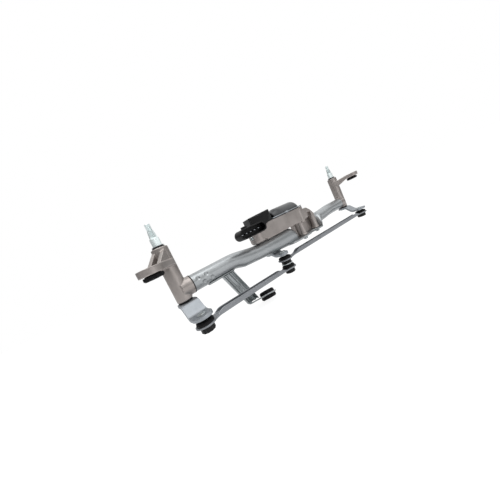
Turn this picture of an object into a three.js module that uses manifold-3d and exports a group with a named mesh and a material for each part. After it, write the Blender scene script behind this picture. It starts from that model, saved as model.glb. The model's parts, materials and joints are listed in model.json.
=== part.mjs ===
// Windshield wiper assembly: two pivots on a tube frame, a geared motor, a crank and two link rods.
// Millimetres, +Z up along the wiper spindles, +X from the left pivot to the right pivot.
// The origin is the centre of the left spindle's end face, where a wiper arm is bolted on.

import * as THREE from 'three';
import { mergeVertices } from 'three/addons/utils/BufferGeometryUtils.js';
import Module from 'manifold-3d';

const wasm = await Module();
wasm.setup();

// Overall layout
const pivotSpacing = 580;
const seatGap = 0.3;
const cutOverrun = 5;
const runningGap = 0.15;

// Facet counts
const largeSides = 18;
const roundSides = 14;
const smallSides = 10;
const crimpSides = 6;
const arcSteps = 9;
const ballRings = 6;
const tubeSides = 14;
const domeSteps = 4;
const stadiumSteps = 8;
const stationCounts = {
  straight: 1, bend: 3, oval: 3, nose: 6, lip: 5, flat: 1, release: 7, rise: 2, right: 1,
};

// Pivot housing and spindle
const barrel = { radius: 14, length: 100, chamfer: 1.2 };
const spindle = { radius: 7.8, plainReach: 18, coneReach: 13, threadReach: 13, coneTop: 5.2 };
const spindleHead = { radius: 10, height: 2.2 };
const serration = { radius: 6.5, depth: 0.5, count: 14 };
const thread = { radius: 4.8 };
const bush = { wall: 1.85, inset: 2.5 };
const topSeal = { radius: 10.6, height: 2 };
const clip = { radius: 10.2, height: 1 };
const thrustWasher = { radius: 12.8, height: 1.9 };

// Frame tube and the spigots that plug its ends
const tube = { radius: 16, wall: 2 };
const collar = { radius: 16.7, reach: 21 };
const spigot = { length: 32, bore: 8 };
const tubeAxisLeft = 19.5;
const tubeAxisRight = 17;
const tubeAxisRelease = 13;
const plate = { top: -10, halfHeight: 3, halfWidth: 24 };
const bend = { start: 107, lowEnd: 140, crestEnd: 190 };
const crest = 26;
const underside = { x: 240, level: -11.8, fallPerLength: 0.08 };
const nose = { start: 292, length: 28, halfWidth: 12, lastAngle: THREE.MathUtils.degToRad(86) };
const lip = { start: 283, end: 312, startHalfWidth: 5 };
const press = { flatEnd: 407, end: 431, levelStart: 500 };
const ovalPowerShares = { flat: 0.55, round: 1 };
const plateNotch = { x: 367, y: -31, radius: 19 };
const crimp = { radius: 3.4, depth: 1.1, firstReach: 12, pitch: 17, angle: THREE.MathUtils.degToRad(38) };

// Body-mount ears
const ear = { reach: 55.8, padRadius: 19.5, thickness: 10.5, rootRadius: 14.5 };
const earHeadings = { left: THREE.MathUtils.degToRad(-126.3), right: THREE.MathUtils.degToRad(-53.7) };
const earLeft = { padBottom: 64.6, rootBottom: 64.6, rootTop: 75.1, direction: earHeadings.left };
const earRight = { padBottom: 78.5, rootBottom: 70, rootTop: 86.5, direction: earHeadings.right };
const earRamp = { start: 14, end: 36 };
const gusset = { thickness: 6.5, spread: 8, start: 6, end: 43, drop: 3 };
const drain = { radius: 2.2, reach: 15.5, aboveEar: 9 };

// Rubber grommets with their steel sleeves
const grommet = { radius: 15, neckRadius: 12, stemRadius: 10, lipRadius: 13, lipHeight: 2.3 };
const grommetFoot = { disc: 6.5, neck: 1.2 };
const sleeve = { radius: 6, bore: 4.4, proud: 0.4 };
const strutGrommet = { radius: 16.5, disc: 7.5, stemRadius: 10 };

// Strut that carries the third body mount
const strut = { sheet: 2.5, width: 28, depth: 8, back: 10.5, topX: 96, footX: 124, footZ: -78 };
const saddle = { start: 50, end: 107, halfAngle: THREE.MathUtils.degToRad(44) };
const strutPad = { x: 150, y: -15, z: -77, radius: 19 };
const strutPadNormal = new THREE.Vector3(0.12, 0.31, 0.94).normalize();
const strutBead = { radius: 2.6, spread: 6.5 };

// Linkage: the two levers and the crank are equal and parallel, so all three turn by the same angle
const leverReach = new THREE.Vector2(2, -45);
const motorAxis = new THREE.Vector2(237, 33);
const ball = { radius: 8, neck: 4.5, collarRadius: 7.5, collarHeight: 1.8 };
const rodSheet = 3;
const rodHeights = { leftOuter: -41, leftInner: -57, rightInner: -35.5, rightOuter: -37.5 };
const rodEndRadius = 17.5;
const rodBody = { halfWidth: 8, flangeWall: 2.2, flangeHeight: 9.5, taper: 14, flat: 24 };
const rodEndClear = { leftOuter: 20, leftInner: 20, rightInner: 32, rightOuter: 20 };
const socket = { radius: 12, depth: 12, throughDepth: 9, beadRadius: 13, beadHeight: 2.2 };
const socketFlange = { radius: 15, height: 2.5 };
const ballAbovePlate = 1;
const boot = { radius: 14.5, skirt: 2.2, height: 4.4, topRadius: 7.4, clearance: 0.5 };
const lever = { thickness: 5, hubRadius: 16, tipRadius: 17.5, flatEnd: 11, rampEnd: 28 };
const leverAboveBall = 10.4;

// Crank and output shaft
const crank = { hubTop: -6, pinTop: -18, thickness: 6, hubRadius: 15, tipRadius: 13 };
const crankRamp = { start: 17, end: 34 };
const crankPin = { headRadius: 9, headHeight: 2.6, shank: 5.7, discRadius: 13.5, discHeight: 1.8 };
const shaft = { radius: 6, threadRadius: 4.8, threadReach: 7.5 };
const nut = { acrossFlats: 17, height: 6 };
const boss = { radius: 15.5, bottom: -5.2 };
const shaftBush = { wall: 1.85, inset: 1 };

// Geared motor
const casting = { bottom: 27, top: 62, front: -24, back: 38, right: 374, rightCorner: 20 };
const lobe = { radius: 18, x: 195 };
const chamber = { radius: 23.5, floor: 44, wall: 4.5 };
const motor = { y: 6, z: 61, radius: 24.5, wall: 1.6, bodyStart: 278, end: 358, domeRadius: 15 };
const motorNeck = { start: 263.5, radius: 17 };
const wormChannel = { radius: 8, start: 213, pocketStart: 203 };
const foot = { radius: 7.8, screwBore: 2.6, screwDepth: 24 };
const footLeft = { x: 337, y: -11 };
const footRight = { x: 398, y: -8 };
const footRear = { x: 366, y: 12 };
const bridge = { halfWidth: 17, top: 54, bottom: 27, slope: [[402, 28], [390, 44.5], [377, 54]] };
const footWeb = { start: 328, end: 405.5, front: 1, back: 16 };
const pocket = { start: 372, end: 388, depth: 10, top: 40 };
const footScrew = { headRadius: 6, headHeight: 4.5, radius: 2.4, reach: 18 };

// Worm drive
const worm = { root: 3.6, tip: 5.6, pitch: 5, length: 30, stepsPerTurn: 6 };
const wormShares = { root: 0.85, foot: 0.42 };
const wheel = { teeth: 26, toothDepth: 1.5, thickness: 9, hubRadius: 10, web: 4 };

// Motor internals
const armature = { radius: 17, start: 281, length: 48, slots: 8, slotDepth: 4, slotWidth: 3.4 };
const commutator = { radius: 8, neckRadius: 6, start: 266, length: 11 };
const motorShaft = { radius: 3.2, end: 355 };
const magnet = { clearance: 0.8, thickness: 4.2, start: 281, length: 52 };
const magnetHalfAngle = THREE.MathUtils.degToRad(64);
const brushCard = { bore: 10, radius: 17.2, x: 268, thickness: 1.8 };
const brush = { width: 5, reach: 7.5, length: 6 };
const endBush = { radius: 7, length: 6 };

// Gear cover, gasket, clamp frame, connector
const gasket = { thickness: 1 };
const clampFrame = { thickness: 2 };
const rimLip = { side: 4.8, back: 7 };
const cover = { left: 184, frontRight: 243, right: 262, front: -22.5, top: 85.5, rise: 4, wall: 2.5 };
const coverRound = { backRadius: 27, corner: 5 };
const coverColumn = { radius: 6 };
const board = { thickness: 1.6, left: 200, right: 227, front: -19, back: -5 };
const connector = { x: 163.5, z: 59, width: 68, height: 20.5, front: -48, wall: 2.4, cavity: 15 };
const connectorFlange = {
  thickness: 3,
  outline: [[182, 50], [214, 50], [217, 59], [227, 62], [239, 82], [239, 86.5], [182, 83]],
};
const latch = { width: 8, height: 4.5, length: 12, offset: -14 };
const terminal = { count: 5, pitch: 10.8, shift: -4.5, width: 3.2, thickness: 1.2, reach: 9, stripDepth: 5 };
const smallScrew = { radius: 2, headRadius: 4.2, headHeight: 2.6, reach: 9, recess: 3.2 };
const coverScrewInset = { x: 9, y: 8 };
const lobeScrew = { angle: THREE.MathUtils.degToRad(-168), z: 43, spotDepth: 1 };

const white = { roughness: 0.35, metalness: 1 };
const finishes = {
  casting: { color: 0x9c918b, roughness: 0.55, metalness: 0.75 },
  zinc: { color: 0xc4cbcc, ...white },
  bright: { color: 0xd6dadd, ...white },
  steel: { color: 0x9aa0a2, roughness: 0.45, metalness: 1 },
  bronze: { color: 0xa67c48, roughness: 0.5, metalness: 1 },
  rubber: { color: 0x17181a, roughness: 0.85, metalness: 0 },
  blackPlastic: { color: 0x222426, roughness: 0.5, metalness: 0 },
  paint: { color: 0x55585a, roughness: 0.45, metalness: 0.4 },
  nylon: { color: 0xd9d2bd, roughness: 0.5, metalness: 0 },
  ferrite: { color: 0x3a3a3c, roughness: 0.8, metalness: 0.1 },
  boardGreen: { color: 0x2f5a3a, roughness: 0.6, metalness: 0 },
};

// Solid helpers

const unitAxis = {
  x: new THREE.Vector3(1, 0, 0),
  y: new THREE.Vector3(0, 1, 0),
  z: new THREE.Vector3(0, 0, 1),
};
const halfTurn = Math.PI;
const quarterTurn = Math.PI / 2;
const fullTurn = 2 * Math.PI;

function welded(geometry) {
  const bare = geometry.clone();
  bare.deleteAttribute('normal');
  bare.deleteAttribute('uv');
  return mergeVertices(bare);
}

function enclosedVolume(geometry) {
  const place = geometry.attributes.position;
  const corner = [0, 1, 2].map(() => new THREE.Vector3());
  let volume = 0;
  for (let i = 0; i < geometry.index.count; i += 3) {
    corner.forEach((point, k) => point.fromBufferAttribute(place, geometry.index.getX(i + k)));
    volume += corner[0].dot(corner[1].clone().cross(corner[2]));
  }
  return volume;
}

function facingOut(geometry) {
  const solid = welded(geometry);
  if (enclosedVolume(solid) < 0) {
    const order = Array.from(solid.index.array);
    for (let i = 0; i < order.length; i += 3) {
      [order[i + 1], order[i + 2]] = [order[i + 2], order[i + 1]];
    }
    solid.setIndex(order);
  }
  return solid;
}

function manifoldOf(geometry) {
  const solid = facingOut(geometry);
  const vertProperties = new Float32Array(solid.attributes.position.array);
  const triVerts = new Uint32Array(solid.index.array);
  return new wasm.Manifold(new wasm.Mesh({ numProp: 3, vertProperties, triVerts }));
}

function geometryOf(manifold) {
  const mesh = manifold.getMesh();
  const geometry = new THREE.BufferGeometry();
  geometry.setAttribute('position', new THREE.BufferAttribute(mesh.vertProperties, 3));
  geometry.setIndex(Array.from(mesh.triVerts));
  return geometry;
}

function join(first, ...others) {
  return geometryOf(others.reduce((sum, item) => sum.add(manifoldOf(item)), manifoldOf(first)));
}

function cut(first, ...tools) {
  return geometryOf(tools.reduce((sum, item) => sum.subtract(manifoldOf(item)), manifoldOf(first)));
}

function common(first, second) {
  return geometryOf(manifoldOf(first).intersect(manifoldOf(second)));
}

// A drum stands on the XY plane; baseRadius and topRadius may differ for a cone
function drum(baseRadius, low, high, sides = roundSides, topRadius = baseRadius) {
  const body = new THREE.CylinderGeometry(topRadius, baseRadius, high - low, sides);
  return body.rotateX(quarterTurn).translate(0, 0, (low + high) / 2);
}

function ring(outer, inner, low, high, sides = roundSides) {
  return turned([[inner, low], [outer, low], [outer, high], [inner, high], [inner, low]], sides);
}

// A profile of [radius, height] pairs turned about Z
function turned(profile, sides = roundSides) {
  const points = profile.map(([radius, height]) => new THREE.Vector2(radius, height));
  return facingOut(new THREE.LatheGeometry(points, sides).rotateX(quarterTurn));
}

function block(x0, x1, y0, y1, z0, z1) {
  const body = new THREE.BoxGeometry(x1 - x0, y1 - y0, z1 - z0);
  return body.translate((x0 + x1) / 2, (y0 + y1) / 2, (z0 + z1) / 2);
}

function slab(shape, low, high, curveSegments = smallSides) {
  const options = { depth: high - low, bevelEnabled: false, curveSegments };
  return new THREE.ExtrudeGeometry(shape, options).translate(0, 0, low);
}

function polygon(points) {
  return new THREE.Shape(points.map(([x, y]) => new THREE.Vector2(x, y)));
}

// A side view drawn in X and Z, given its width along Y
function sideView(points, halfWidth) {
  return slab(polygon(points), -halfWidth, halfWidth).rotateX(quarterTurn);
}

// Turns a piece made about Z so that it lies along +X
function alongX(geometry) {
  return geometry.rotateY(quarterTurn);
}

// Turns a piece made about Z so that it points along -Y
function alongFront(geometry) {
  return geometry.rotateX(quarterTurn);
}

// Plan outline of a bar with a round end at each of two points
function capsule(start, startRadius, end, endRadius) {
  const along = end.clone().sub(start);
  const span = along.length();
  const heading = along.angle();
  const lean = Math.acos((startRadius - endRadius) / span);
  const shape = new THREE.Shape();
  shape.absarc(start.x, start.y, startRadius, heading + lean, heading - lean + fullTurn, false);
  shape.absarc(end.x, end.y, endRadius, heading - lean, heading + lean, false);
  return shape;
}

function roundedBox(left, right, front, back, corner) {
  const shape = new THREE.Shape();
  shape.absarc(right - corner, front + corner, corner, -quarterTurn, 0, false);
  shape.absarc(right - corner, back - corner, corner, 0, quarterTurn, false);
  shape.absarc(left + corner, back - corner, corner, quarterTurn, halfTurn, false);
  shape.absarc(left + corner, front + corner, corner, halfTurn, halfTurn + quarterTurn, false);
  return shape;
}

function part(name, geometry, finish, parent) {
  const mesh = new THREE.Mesh(facingOut(geometry), new THREE.MeshStandardMaterial(finishes[finish]));
  mesh.geometry.computeVertexNormals();
  mesh.name = name;
  parent.add(mesh);
  return mesh;
}

function groupAt(parent, x, y, z = 0) {
  const group = new THREE.Group();
  group.position.set(x, y, z);
  parent.add(group);
  return group;
}

const spindleReach = spindle.plainReach + spindle.coneReach + spindle.threadReach;
const assembly = new THREE.Group();
assembly.position.z = -(barrel.length + spindleReach);

// Pivot housings: a barrel for the spindle, a spigot for the tube and an ear for the body mount

const barrelBore = spindle.radius + runningGap + bush.wall + seatGap;

function barrelSolid() {
  const { radius, length, chamfer } = barrel;
  return turned([
    [0, 0], [radius - chamfer, 0], [radius, chamfer],
    [radius, length - chamfer], [radius - chamfer, length], [0, length],
  ], largeSides);
}

function spigotSolid(side, height) {
  const spigotRadius = tube.radius - tube.wall - seatGap;
  const reach = collar.reach + spigot.length;
  const outside = alongX(turned([
    [0, 0], [collar.radius, 0], [collar.radius, collar.reach],
    [spigotRadius, collar.reach], [spigotRadius, reach], [0, reach],
  ]));
  const hollow = alongX(drum(spigot.bore, collar.reach, reach + cutOverrun, smallSides));
  const body = cut(outside, hollow);
  return (side > 0 ? body : body.rotateZ(halfTurn)).translate(0, 0, height);
}

function earSolid(shape) {
  const padTop = shape.padBottom + ear.thickness;
  const farEnd = ear.reach + ear.padRadius + cutOverrun;
  const side = sideView([
    [0, shape.rootBottom], [earRamp.start, shape.rootBottom], [earRamp.end, shape.padBottom],
    [farEnd, shape.padBottom], [farEnd, padTop], [earRamp.end, padTop],
    [earRamp.start, shape.rootTop], [0, shape.rootTop],
  ], ear.padRadius + cutOverrun);
  const tip = new THREE.Vector2(ear.reach, 0);
  const plan = slab(capsule(new THREE.Vector2(), ear.rootRadius, tip, ear.padRadius), 0, barrel.length);
  return common(side, plan);
}

function gussetSolid(shape, across) {
  const seat = shape.rootTop - gusset.drop;
  const rise = barrel.length - gusset.drop;
  const web = sideView([
    [gusset.start, seat], [gusset.end, seat], [gusset.end, seat + gusset.drop], [gusset.start, rise],
  ], gusset.thickness / 2);
  return web.translate(0, across, 0);
}

function padHole(shape) {
  const padTop = shape.padBottom + ear.thickness;
  const stem = drum(grommet.stemRadius + seatGap, shape.padBottom - cutOverrun, padTop + cutOverrun);
  const lipSeat = padTop - grommet.lipHeight - seatGap;
  const lip = drum(grommet.lipRadius + seatGap, lipSeat, padTop + cutOverrun);
  return [stem.translate(ear.reach, 0, 0), lip.translate(ear.reach, 0, 0)];
}

function drainHole(shape) {
  const height = shape.rootTop + drain.aboveEar;
  return alongX(drum(drain.radius, 0, drain.reach, smallSides)).translate(0, 0, height);
}

function pivotHousing(side, shape, tubeHeight) {
  const gussets = side < 0 ? [gussetSolid(shape, gusset.spread), gussetSolid(shape, -gusset.spread)] : [];
  const arm = cut(join(earSolid(shape), ...gussets), ...padHole(shape));
  const drains = side < 0 ? [drainHole(shape).rotateZ(shape.direction)] : [];
  const body = join(barrelSolid(), arm.rotateZ(shape.direction), spigotSolid(-side, tubeHeight));
  const bore = drum(barrelBore, -cutOverrun, barrel.length + cutOverrun, largeSides);
  return cut(body, bore, ...drains);
}

function earGrommet() {
  const stemTop = ear.thickness - grommet.lipHeight;
  const discBottom = -(grommetFoot.disc + grommetFoot.neck);
  const inner = sleeve.radius + seatGap;
  return turned([
    [inner, discBottom], [grommet.radius, discBottom], [grommet.radius, -grommetFoot.neck],
    [grommet.neckRadius, -grommetFoot.neck], [grommet.neckRadius, -seatGap],
    [grommet.stemRadius, -seatGap], [grommet.stemRadius, stemTop], [grommet.lipRadius, stemTop],
    [grommet.lipRadius, ear.thickness], [inner, ear.thickness], [inner, discBottom],
  ]);
}

function earSleeve() {
  const bottom = -(grommetFoot.disc + grommetFoot.neck) - sleeve.proud;
  return ring(sleeve.radius, sleeve.bore, bottom, ear.thickness + sleeve.proud, smallSides);
}

function pivot(label, side, shape, tubeHeight) {
  const group = groupAt(assembly, side < 0 ? 0 : pivotSpacing, 0);
  part(`${label}_pivot_housing`, pivotHousing(side, shape, tubeHeight), 'casting', group);
  const bushOuter = barrelBore - seatGap;
  const bushInner = spindle.radius + runningGap;
  const liner = ring(bushOuter, bushInner, bush.inset, barrel.length - bush.inset, largeSides);
  part(`${label}_spindle_bush`, liner, 'bronze', group);
  const sealBottom = barrel.length + seatGap;
  const seal = ring(topSeal.radius, bushInner, sealBottom, sealBottom + topSeal.height, largeSides);
  part(`${label}_shaft_seal`, seal, 'rubber', group);
  const pad = groupAt(group, 0, 0);
  pad.rotation.z = shape.direction;
  const padCentre = groupAt(pad, ear.reach, 0, shape.padBottom);
  part(`${label}_mount_grommet`, earGrommet(), 'rubber', padCentre);
  part(`${label}_mount_sleeve`, earSleeve(), 'zinc', padCentre);
  return group;
}

const leftPivot = pivot('left', -1, earLeft, tubeAxisLeft);
const rightPivot = pivot('right', 1, earRight, tubeAxisRight);

// Spindles, levers and their ball studs

function spindleSolid() {
  const bottom = leverHubBottom - seatGap - spindleHead.height;
  const plainTop = barrel.length + spindle.plainReach;
  const coneTop = plainTop + spindle.coneReach;
  const body = turned([
    [0, bottom], [spindleHead.radius, bottom], [spindleHead.radius, bottom + spindleHead.height],
    [spindle.radius, bottom + spindleHead.height], [spindle.radius, plainTop],
    [serration.radius - serration.depth, plainTop], [spindle.coneTop - serration.depth, coneTop],
    [thread.radius, coneTop], [thread.radius, coneTop + spindle.threadReach],
    [0, coneTop + spindle.threadReach],
  ], largeSides);
  return join(body, serratedCone().translate(0, 0, plainTop));
}

// The serrated cone that grips a wiper arm: pointed ridges all round
function serratedCone() {
  const outline = (radius) => {
    const points = [];
    for (let i = 0; i < 2 * serration.count; i += 1) {
      const reach = i % 2 ? radius - serration.depth : radius;
      const angle = (i * halfTurn) / serration.count;
      points.push(new THREE.Vector3(reach * Math.cos(angle), reach * Math.sin(angle), 0));
    }
    return points;
  };
  const lower = outline(serration.radius);
  const upper = outline(spindle.coneTop).map((point) => point.setZ(spindle.coneReach));
  return loft([lower, upper]);
}

// A closed skin through rings of equally many points, with flat ends
function loft(rings) {
  const count = rings[0].length;
  const places = rings.flat().flatMap((point) => [point.x, point.y, point.z]);
  const order = [];
  for (let r = 0; r < rings.length - 1; r += 1) {
    for (let i = 0; i < count; i += 1) {
      const a = r * count + i;
      const b = r * count + ((i + 1) % count);
      order.push(a, b, b + count, a, b + count, a + count);
    }
  }
  const last = (rings.length - 1) * count;
  for (const [first, flip] of [[0, true], [last, false]]) {
    const centre = places.length / 3;
    const middle = new THREE.Vector3();
    rings[first / count].forEach((point) => middle.addScaledVector(point, 1 / count));
    places.push(middle.x, middle.y, middle.z);
    for (let i = 0; i < count; i += 1) {
      const a = first + i;
      const b = first + ((i + 1) % count);
      order.push(...(flip ? [centre, b, a] : [centre, a, b]));
    }
  }
  const geometry = new THREE.BufferGeometry();
  geometry.setAttribute('position', new THREE.Float32BufferAttribute(places, 3));
  geometry.setIndex(order);
  return facingOut(geometry);
}

const leverHubTop = -(seatGap + thrustWasher.height + seatGap);
const leverHubBottom = leverHubTop - lever.thickness;

// The lever is drawn along +X from its hub and turned to its place afterwards
function leverSolid(ballHeight) {
  const reach = leverReach.length();
  const end = reach + lever.tipRadius + cutOverrun;
  const start = -lever.hubRadius - cutOverrun;
  const lowTop = ballHeight + leverAboveBall + lever.thickness;
  const lowBottom = lowTop - lever.thickness;
  const side = sideView([
    [start, leverHubBottom], [lever.flatEnd, leverHubBottom], [lever.rampEnd, lowBottom],
    [end, lowBottom], [end, lowTop], [lever.rampEnd + lever.thickness / 2, lowTop],
    [lever.flatEnd + lever.thickness / 2, leverHubTop], [start, leverHubTop],
  ], lever.hubRadius + cutOverrun);
  const tip = new THREE.Vector2(reach, 0);
  const outline = capsule(new THREE.Vector2(), lever.hubRadius, tip, lever.tipRadius);
  const body = common(side, slab(outline, ballHeight, cutOverrun));
  const hubHole = drum(spindle.radius + seatGap, ballHeight, cutOverrun, largeSides);
  const studHole = drum(ball.neck + seatGap, ballHeight, cutOverrun, smallSides);
  return cut(body, hubHole, studHole.translate(reach, 0, 0));
}

// A ball on a neck, as [radius, height] pairs from the neck's lower end round the ball
function ballProfile(height, openBelow, radius = ball.radius) {
  const start = Math.asin(ball.neck / ball.radius);
  const points = [];
  const sweep = openBelow ? halfTurn - 2 * start : halfTurn - start;
  for (let i = 0; i <= ballRings; i += 1) {
    const angle = start + (sweep * i) / ballRings;
    points.push([radius * Math.sin(angle), height + radius * Math.cos(angle)]);
  }
  return points;
}

function ballStud(ballHeight) {
  const leverBottom = ballHeight + leverAboveBall;
  const leverTop = leverBottom + lever.thickness;
  const headBottom = leverTop + seatGap;
  const collarTop = leverBottom - seatGap;
  return turned([
    [0, headBottom + ball.collarHeight], [ball.collarRadius, headBottom + ball.collarHeight],
    [ball.collarRadius, headBottom], [ball.neck, headBottom], [ball.neck, collarTop],
    [ball.collarRadius, collarTop], [ball.collarRadius, collarTop - ball.collarHeight],
    [ball.neck, collarTop - ball.collarHeight],
    ...ballProfile(ballHeight, false),
  ]);
}

function leverBody(label, group, rodHeight) {
  const ballHeight = rodHeight + ballAbovePlate;
  part(`${label}_spindle`, spindleSolid(), 'bright', group);
  const clipBottom = barrel.length + topSeal.height + 2 * seatGap;
  const clipInner = spindle.radius + seatGap;
  const clipSolid = ring(clip.radius, clipInner, clipBottom, clipBottom + clip.height);
  part(`${label}_retaining_clip`, clipSolid, 'steel', group);
  const washer = ring(thrustWasher.radius, clipInner, -seatGap - thrustWasher.height, -seatGap);
  part(`${label}_thrust_washer`, washer, 'rubber', group);
  const turnedGroup = groupAt(group, 0, 0);
  turnedGroup.rotation.z = leverReach.angle();
  part(`${label}_lever`, leverSolid(ballHeight), 'bright', turnedGroup);
  const stud = groupAt(turnedGroup, leverReach.length(), 0);
  part(`${label}_lever_ball_stud`, ballStud(ballHeight), 'zinc', stud);
}

leverBody('left', leftPivot, rodHeights.leftOuter);
leverBody('right', rightPivot, rodHeights.rightOuter);

// Frame tube: round, squeezed tall under the gearbox, pressed flat as the motor plate, and round again

function smooth(share) {
  const t = Math.min(Math.max(share, 0), 1);
  return t * t * (3 - 2 * t);
}

function blend(from, to, share) {
  return from + (to - from) * smooth(share);
}

function shareOf(x, from, to) {
  return (x - from) / (to - from);
}

// The underside of the squeezed stretch falls gently towards the plate
function fallingLow(x) {
  return underside.level - underside.fallPerLength * (x - underside.x);
}

const plateLow = plate.top - 2 * plate.halfHeight;

// Top, bottom and half width of the left stretch, from the left pivot to the nose
function bodySection(x) {
  const low = blend(tubeAxisLeft - tube.radius, fallingLow(x), shareOf(x, bend.start, bend.lowEnd));
  return {
    top: blend(tubeAxisLeft + tube.radius, crest, shareOf(x, bend.start, bend.crestEnd)),
    low: Math.max(low, plateLow),
    halfWidth: blend(tube.radius, nose.halfWidth, shareOf(x, bend.start, nose.start)),
  };
}

// Top, bottom and half width of the pressed plate and of the round right stretch
function plateSection(x) {
  if (x <= press.flatEnd) {
    const left = 1 - Math.min(Math.max(shareOf(x, lip.start, lip.end), 0), 1);
    const spread = Math.sqrt(1 - left * left);
    const halfWidth = lip.startHalfWidth + (plate.halfWidth - lip.startHalfWidth) * spread;
    return { top: plate.top, low: plateLow, halfWidth };
  }
  if (x <= press.end) {
    const share = shareOf(x, press.flatEnd, press.end);
    const steep = Math.sqrt(1 - (1 - share) * (1 - share));
    return {
      top: plate.top + (tubeAxisRelease + tube.radius - plate.top) * steep,
      low: blend(plateLow, tubeAxisRelease - tube.radius, share),
      halfWidth: blend(plate.halfWidth, tube.radius, share),
    };
  }
  const axis = blend(tubeAxisRelease, tubeAxisRight, shareOf(x, press.end, press.levelStart));
  return { top: axis + tube.radius, low: axis - tube.radius, halfWidth: tube.radius };
}

// One ring of the tube; the flatter it is, the squarer its ends
function tubeRing(x, section, inset) {
  const axis = (section.top + section.low) / 2;
  const halfHeight = (section.top - section.low) / 2;
  const squareness = Math.min(halfHeight / section.halfWidth, 1);
  const power = THREE.MathUtils.lerp(ovalPowerShares.flat, ovalPowerShares.round, squareness);
  const points = [];
  for (let i = 0; i < tubeSides; i += 1) {
    const angle = (i * fullTurn) / tubeSides;
    const across = Math.sign(Math.cos(angle)) * Math.abs(Math.cos(angle)) ** power;
    const up = Math.sign(Math.sin(angle)) * Math.abs(Math.sin(angle)) ** power;
    const place = [(section.halfWidth - inset) * across, axis + (halfHeight - inset) * up];
    points.push(new THREE.Vector3(x, ...place));
  }
  return points;
}

function stationsAlong(start, stretches) {
  const stations = [start];
  for (const [to, count] of stretches) {
    const from = stations[stations.length - 1];
    for (let i = 1; i <= count; i += 1) {
      stations.push(from + ((to - from) * i) / count);
    }
  }
  return stations;
}

// Rings that close the left stretch with a rounded nose standing on the plate
function noseRings(inset) {
  const rings = [];
  for (let i = 1; i <= stationCounts.nose; i += 1) {
    const angle = (nose.lastAngle * i) / stationCounts.nose;
    const section = {
      top: plate.top + (crest - plate.top) * Math.cos(angle),
      low: plateLow,
      halfWidth: inset + (nose.halfWidth - inset) * Math.sqrt(Math.cos(angle)),
    };
    rings.push(tubeRing(nose.start + (nose.length - inset) * Math.sin(angle), section, inset));
  }
  return rings;
}

// The left stretch grown inward by inset; overrun lengthens its open end
function leftStretch(inset, overrun) {
  const start = collar.reach + seatGap;
  const stations = stationsAlong(start, [
    [bend.start, stationCounts.straight],
    [bend.lowEnd, stationCounts.bend],
    [bend.crestEnd, stationCounts.bend],
    [nose.start, stationCounts.oval],
  ]);
  const rings = stations.map((x) => tubeRing(x, bodySection(x), inset));
  rings[0].forEach((point) => point.setX(start - overrun));
  return loft([...rings, ...noseRings(inset)]);
}

function rightStretch(inset, overrun) {
  const end = pivotSpacing - collar.reach - seatGap;
  const stations = stationsAlong(lip.start + inset, [
    [lip.end, stationCounts.lip],
    [press.flatEnd, stationCounts.flat],
    [press.end, stationCounts.release],
    [press.levelStart, stationCounts.rise],
    [end, stationCounts.right],
  ]);
  const rings = stations.map((x) => tubeRing(x, plateSection(x), inset));
  rings[rings.length - 1].forEach((point) => point.setX(end + overrun));
  return loft(rings);
}

const feet = [footLeft, footRight, footRear];

// Small dents that lock the tube onto the spigot, two rows on the front half
function crimpTools() {
  const tools = [];
  for (const row of [0, 1]) {
    for (const place of [0, 1]) {
      const x = collar.reach + crimp.firstReach + crimp.pitch * (place + row / 2);
      const tool = drum(crimp.radius, tube.radius - crimp.depth, tube.radius + cutOverrun, crimpSides);
      const tilt = quarterTurn + (row ? crimp.angle : -crimp.angle) / 2;
      tools.push(tool.rotateX(tilt).translate(x, 0, tubeAxisLeft));
    }
  }
  return tools;
}

// A round tool through the plate, for a screw hole or for the notch between the two front feet
function plateTool(radius, x, y) {
  const low = plateLow - cutOverrun;
  return drum(radius, low, plate.top + cutOverrun, smallSides).translate(x, y, 0);
}

function frameTube() {
  const outside = join(leftStretch(0, 0), rightStretch(0, 0));
  const hollow = join(leftStretch(tube.wall, cutOverrun), rightStretch(tube.wall, cutOverrun));
  const holes = feet.map(({ x, y }) => {
    return plateTool(footScrew.radius + seatGap, x, y);
  });
  const notch = plateTool(plateNotch.radius, plateNotch.x, plateNotch.y);
  return cut(outside, hollow, ...holes, notch, ...crimpTools());
}

part('frame_tube', frameTube(), 'zinc', assembly);

// Strut: a saddle under the tube, a ribbed channel down and a tilted pad for the third mount

function onPad(geometry) {
  const turn = new THREE.Quaternion().setFromUnitVectors(unitAxis.z, strutPadNormal);
  return geometry.applyQuaternion(turn).translate(strutPad.x, strutPad.y, strutPad.z);
}

function strutSaddle() {
  const inner = tube.radius + seatGap;
  const shell = ring(inner + strut.sheet, inner, saddle.start, saddle.end, largeSides);
  const keep = Math.sin(saddle.halfAngle) * (inner + strut.sheet);
  const level = tubeAxisLeft - Math.cos(saddle.halfAngle) * (inner + strut.sheet);
  const whole = alongX(shell).translate(0, 0, tubeAxisLeft);
  return common(whole, block(saddle.start, saddle.end, -keep, keep, level - tube.radius * 2, level));
}

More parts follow.
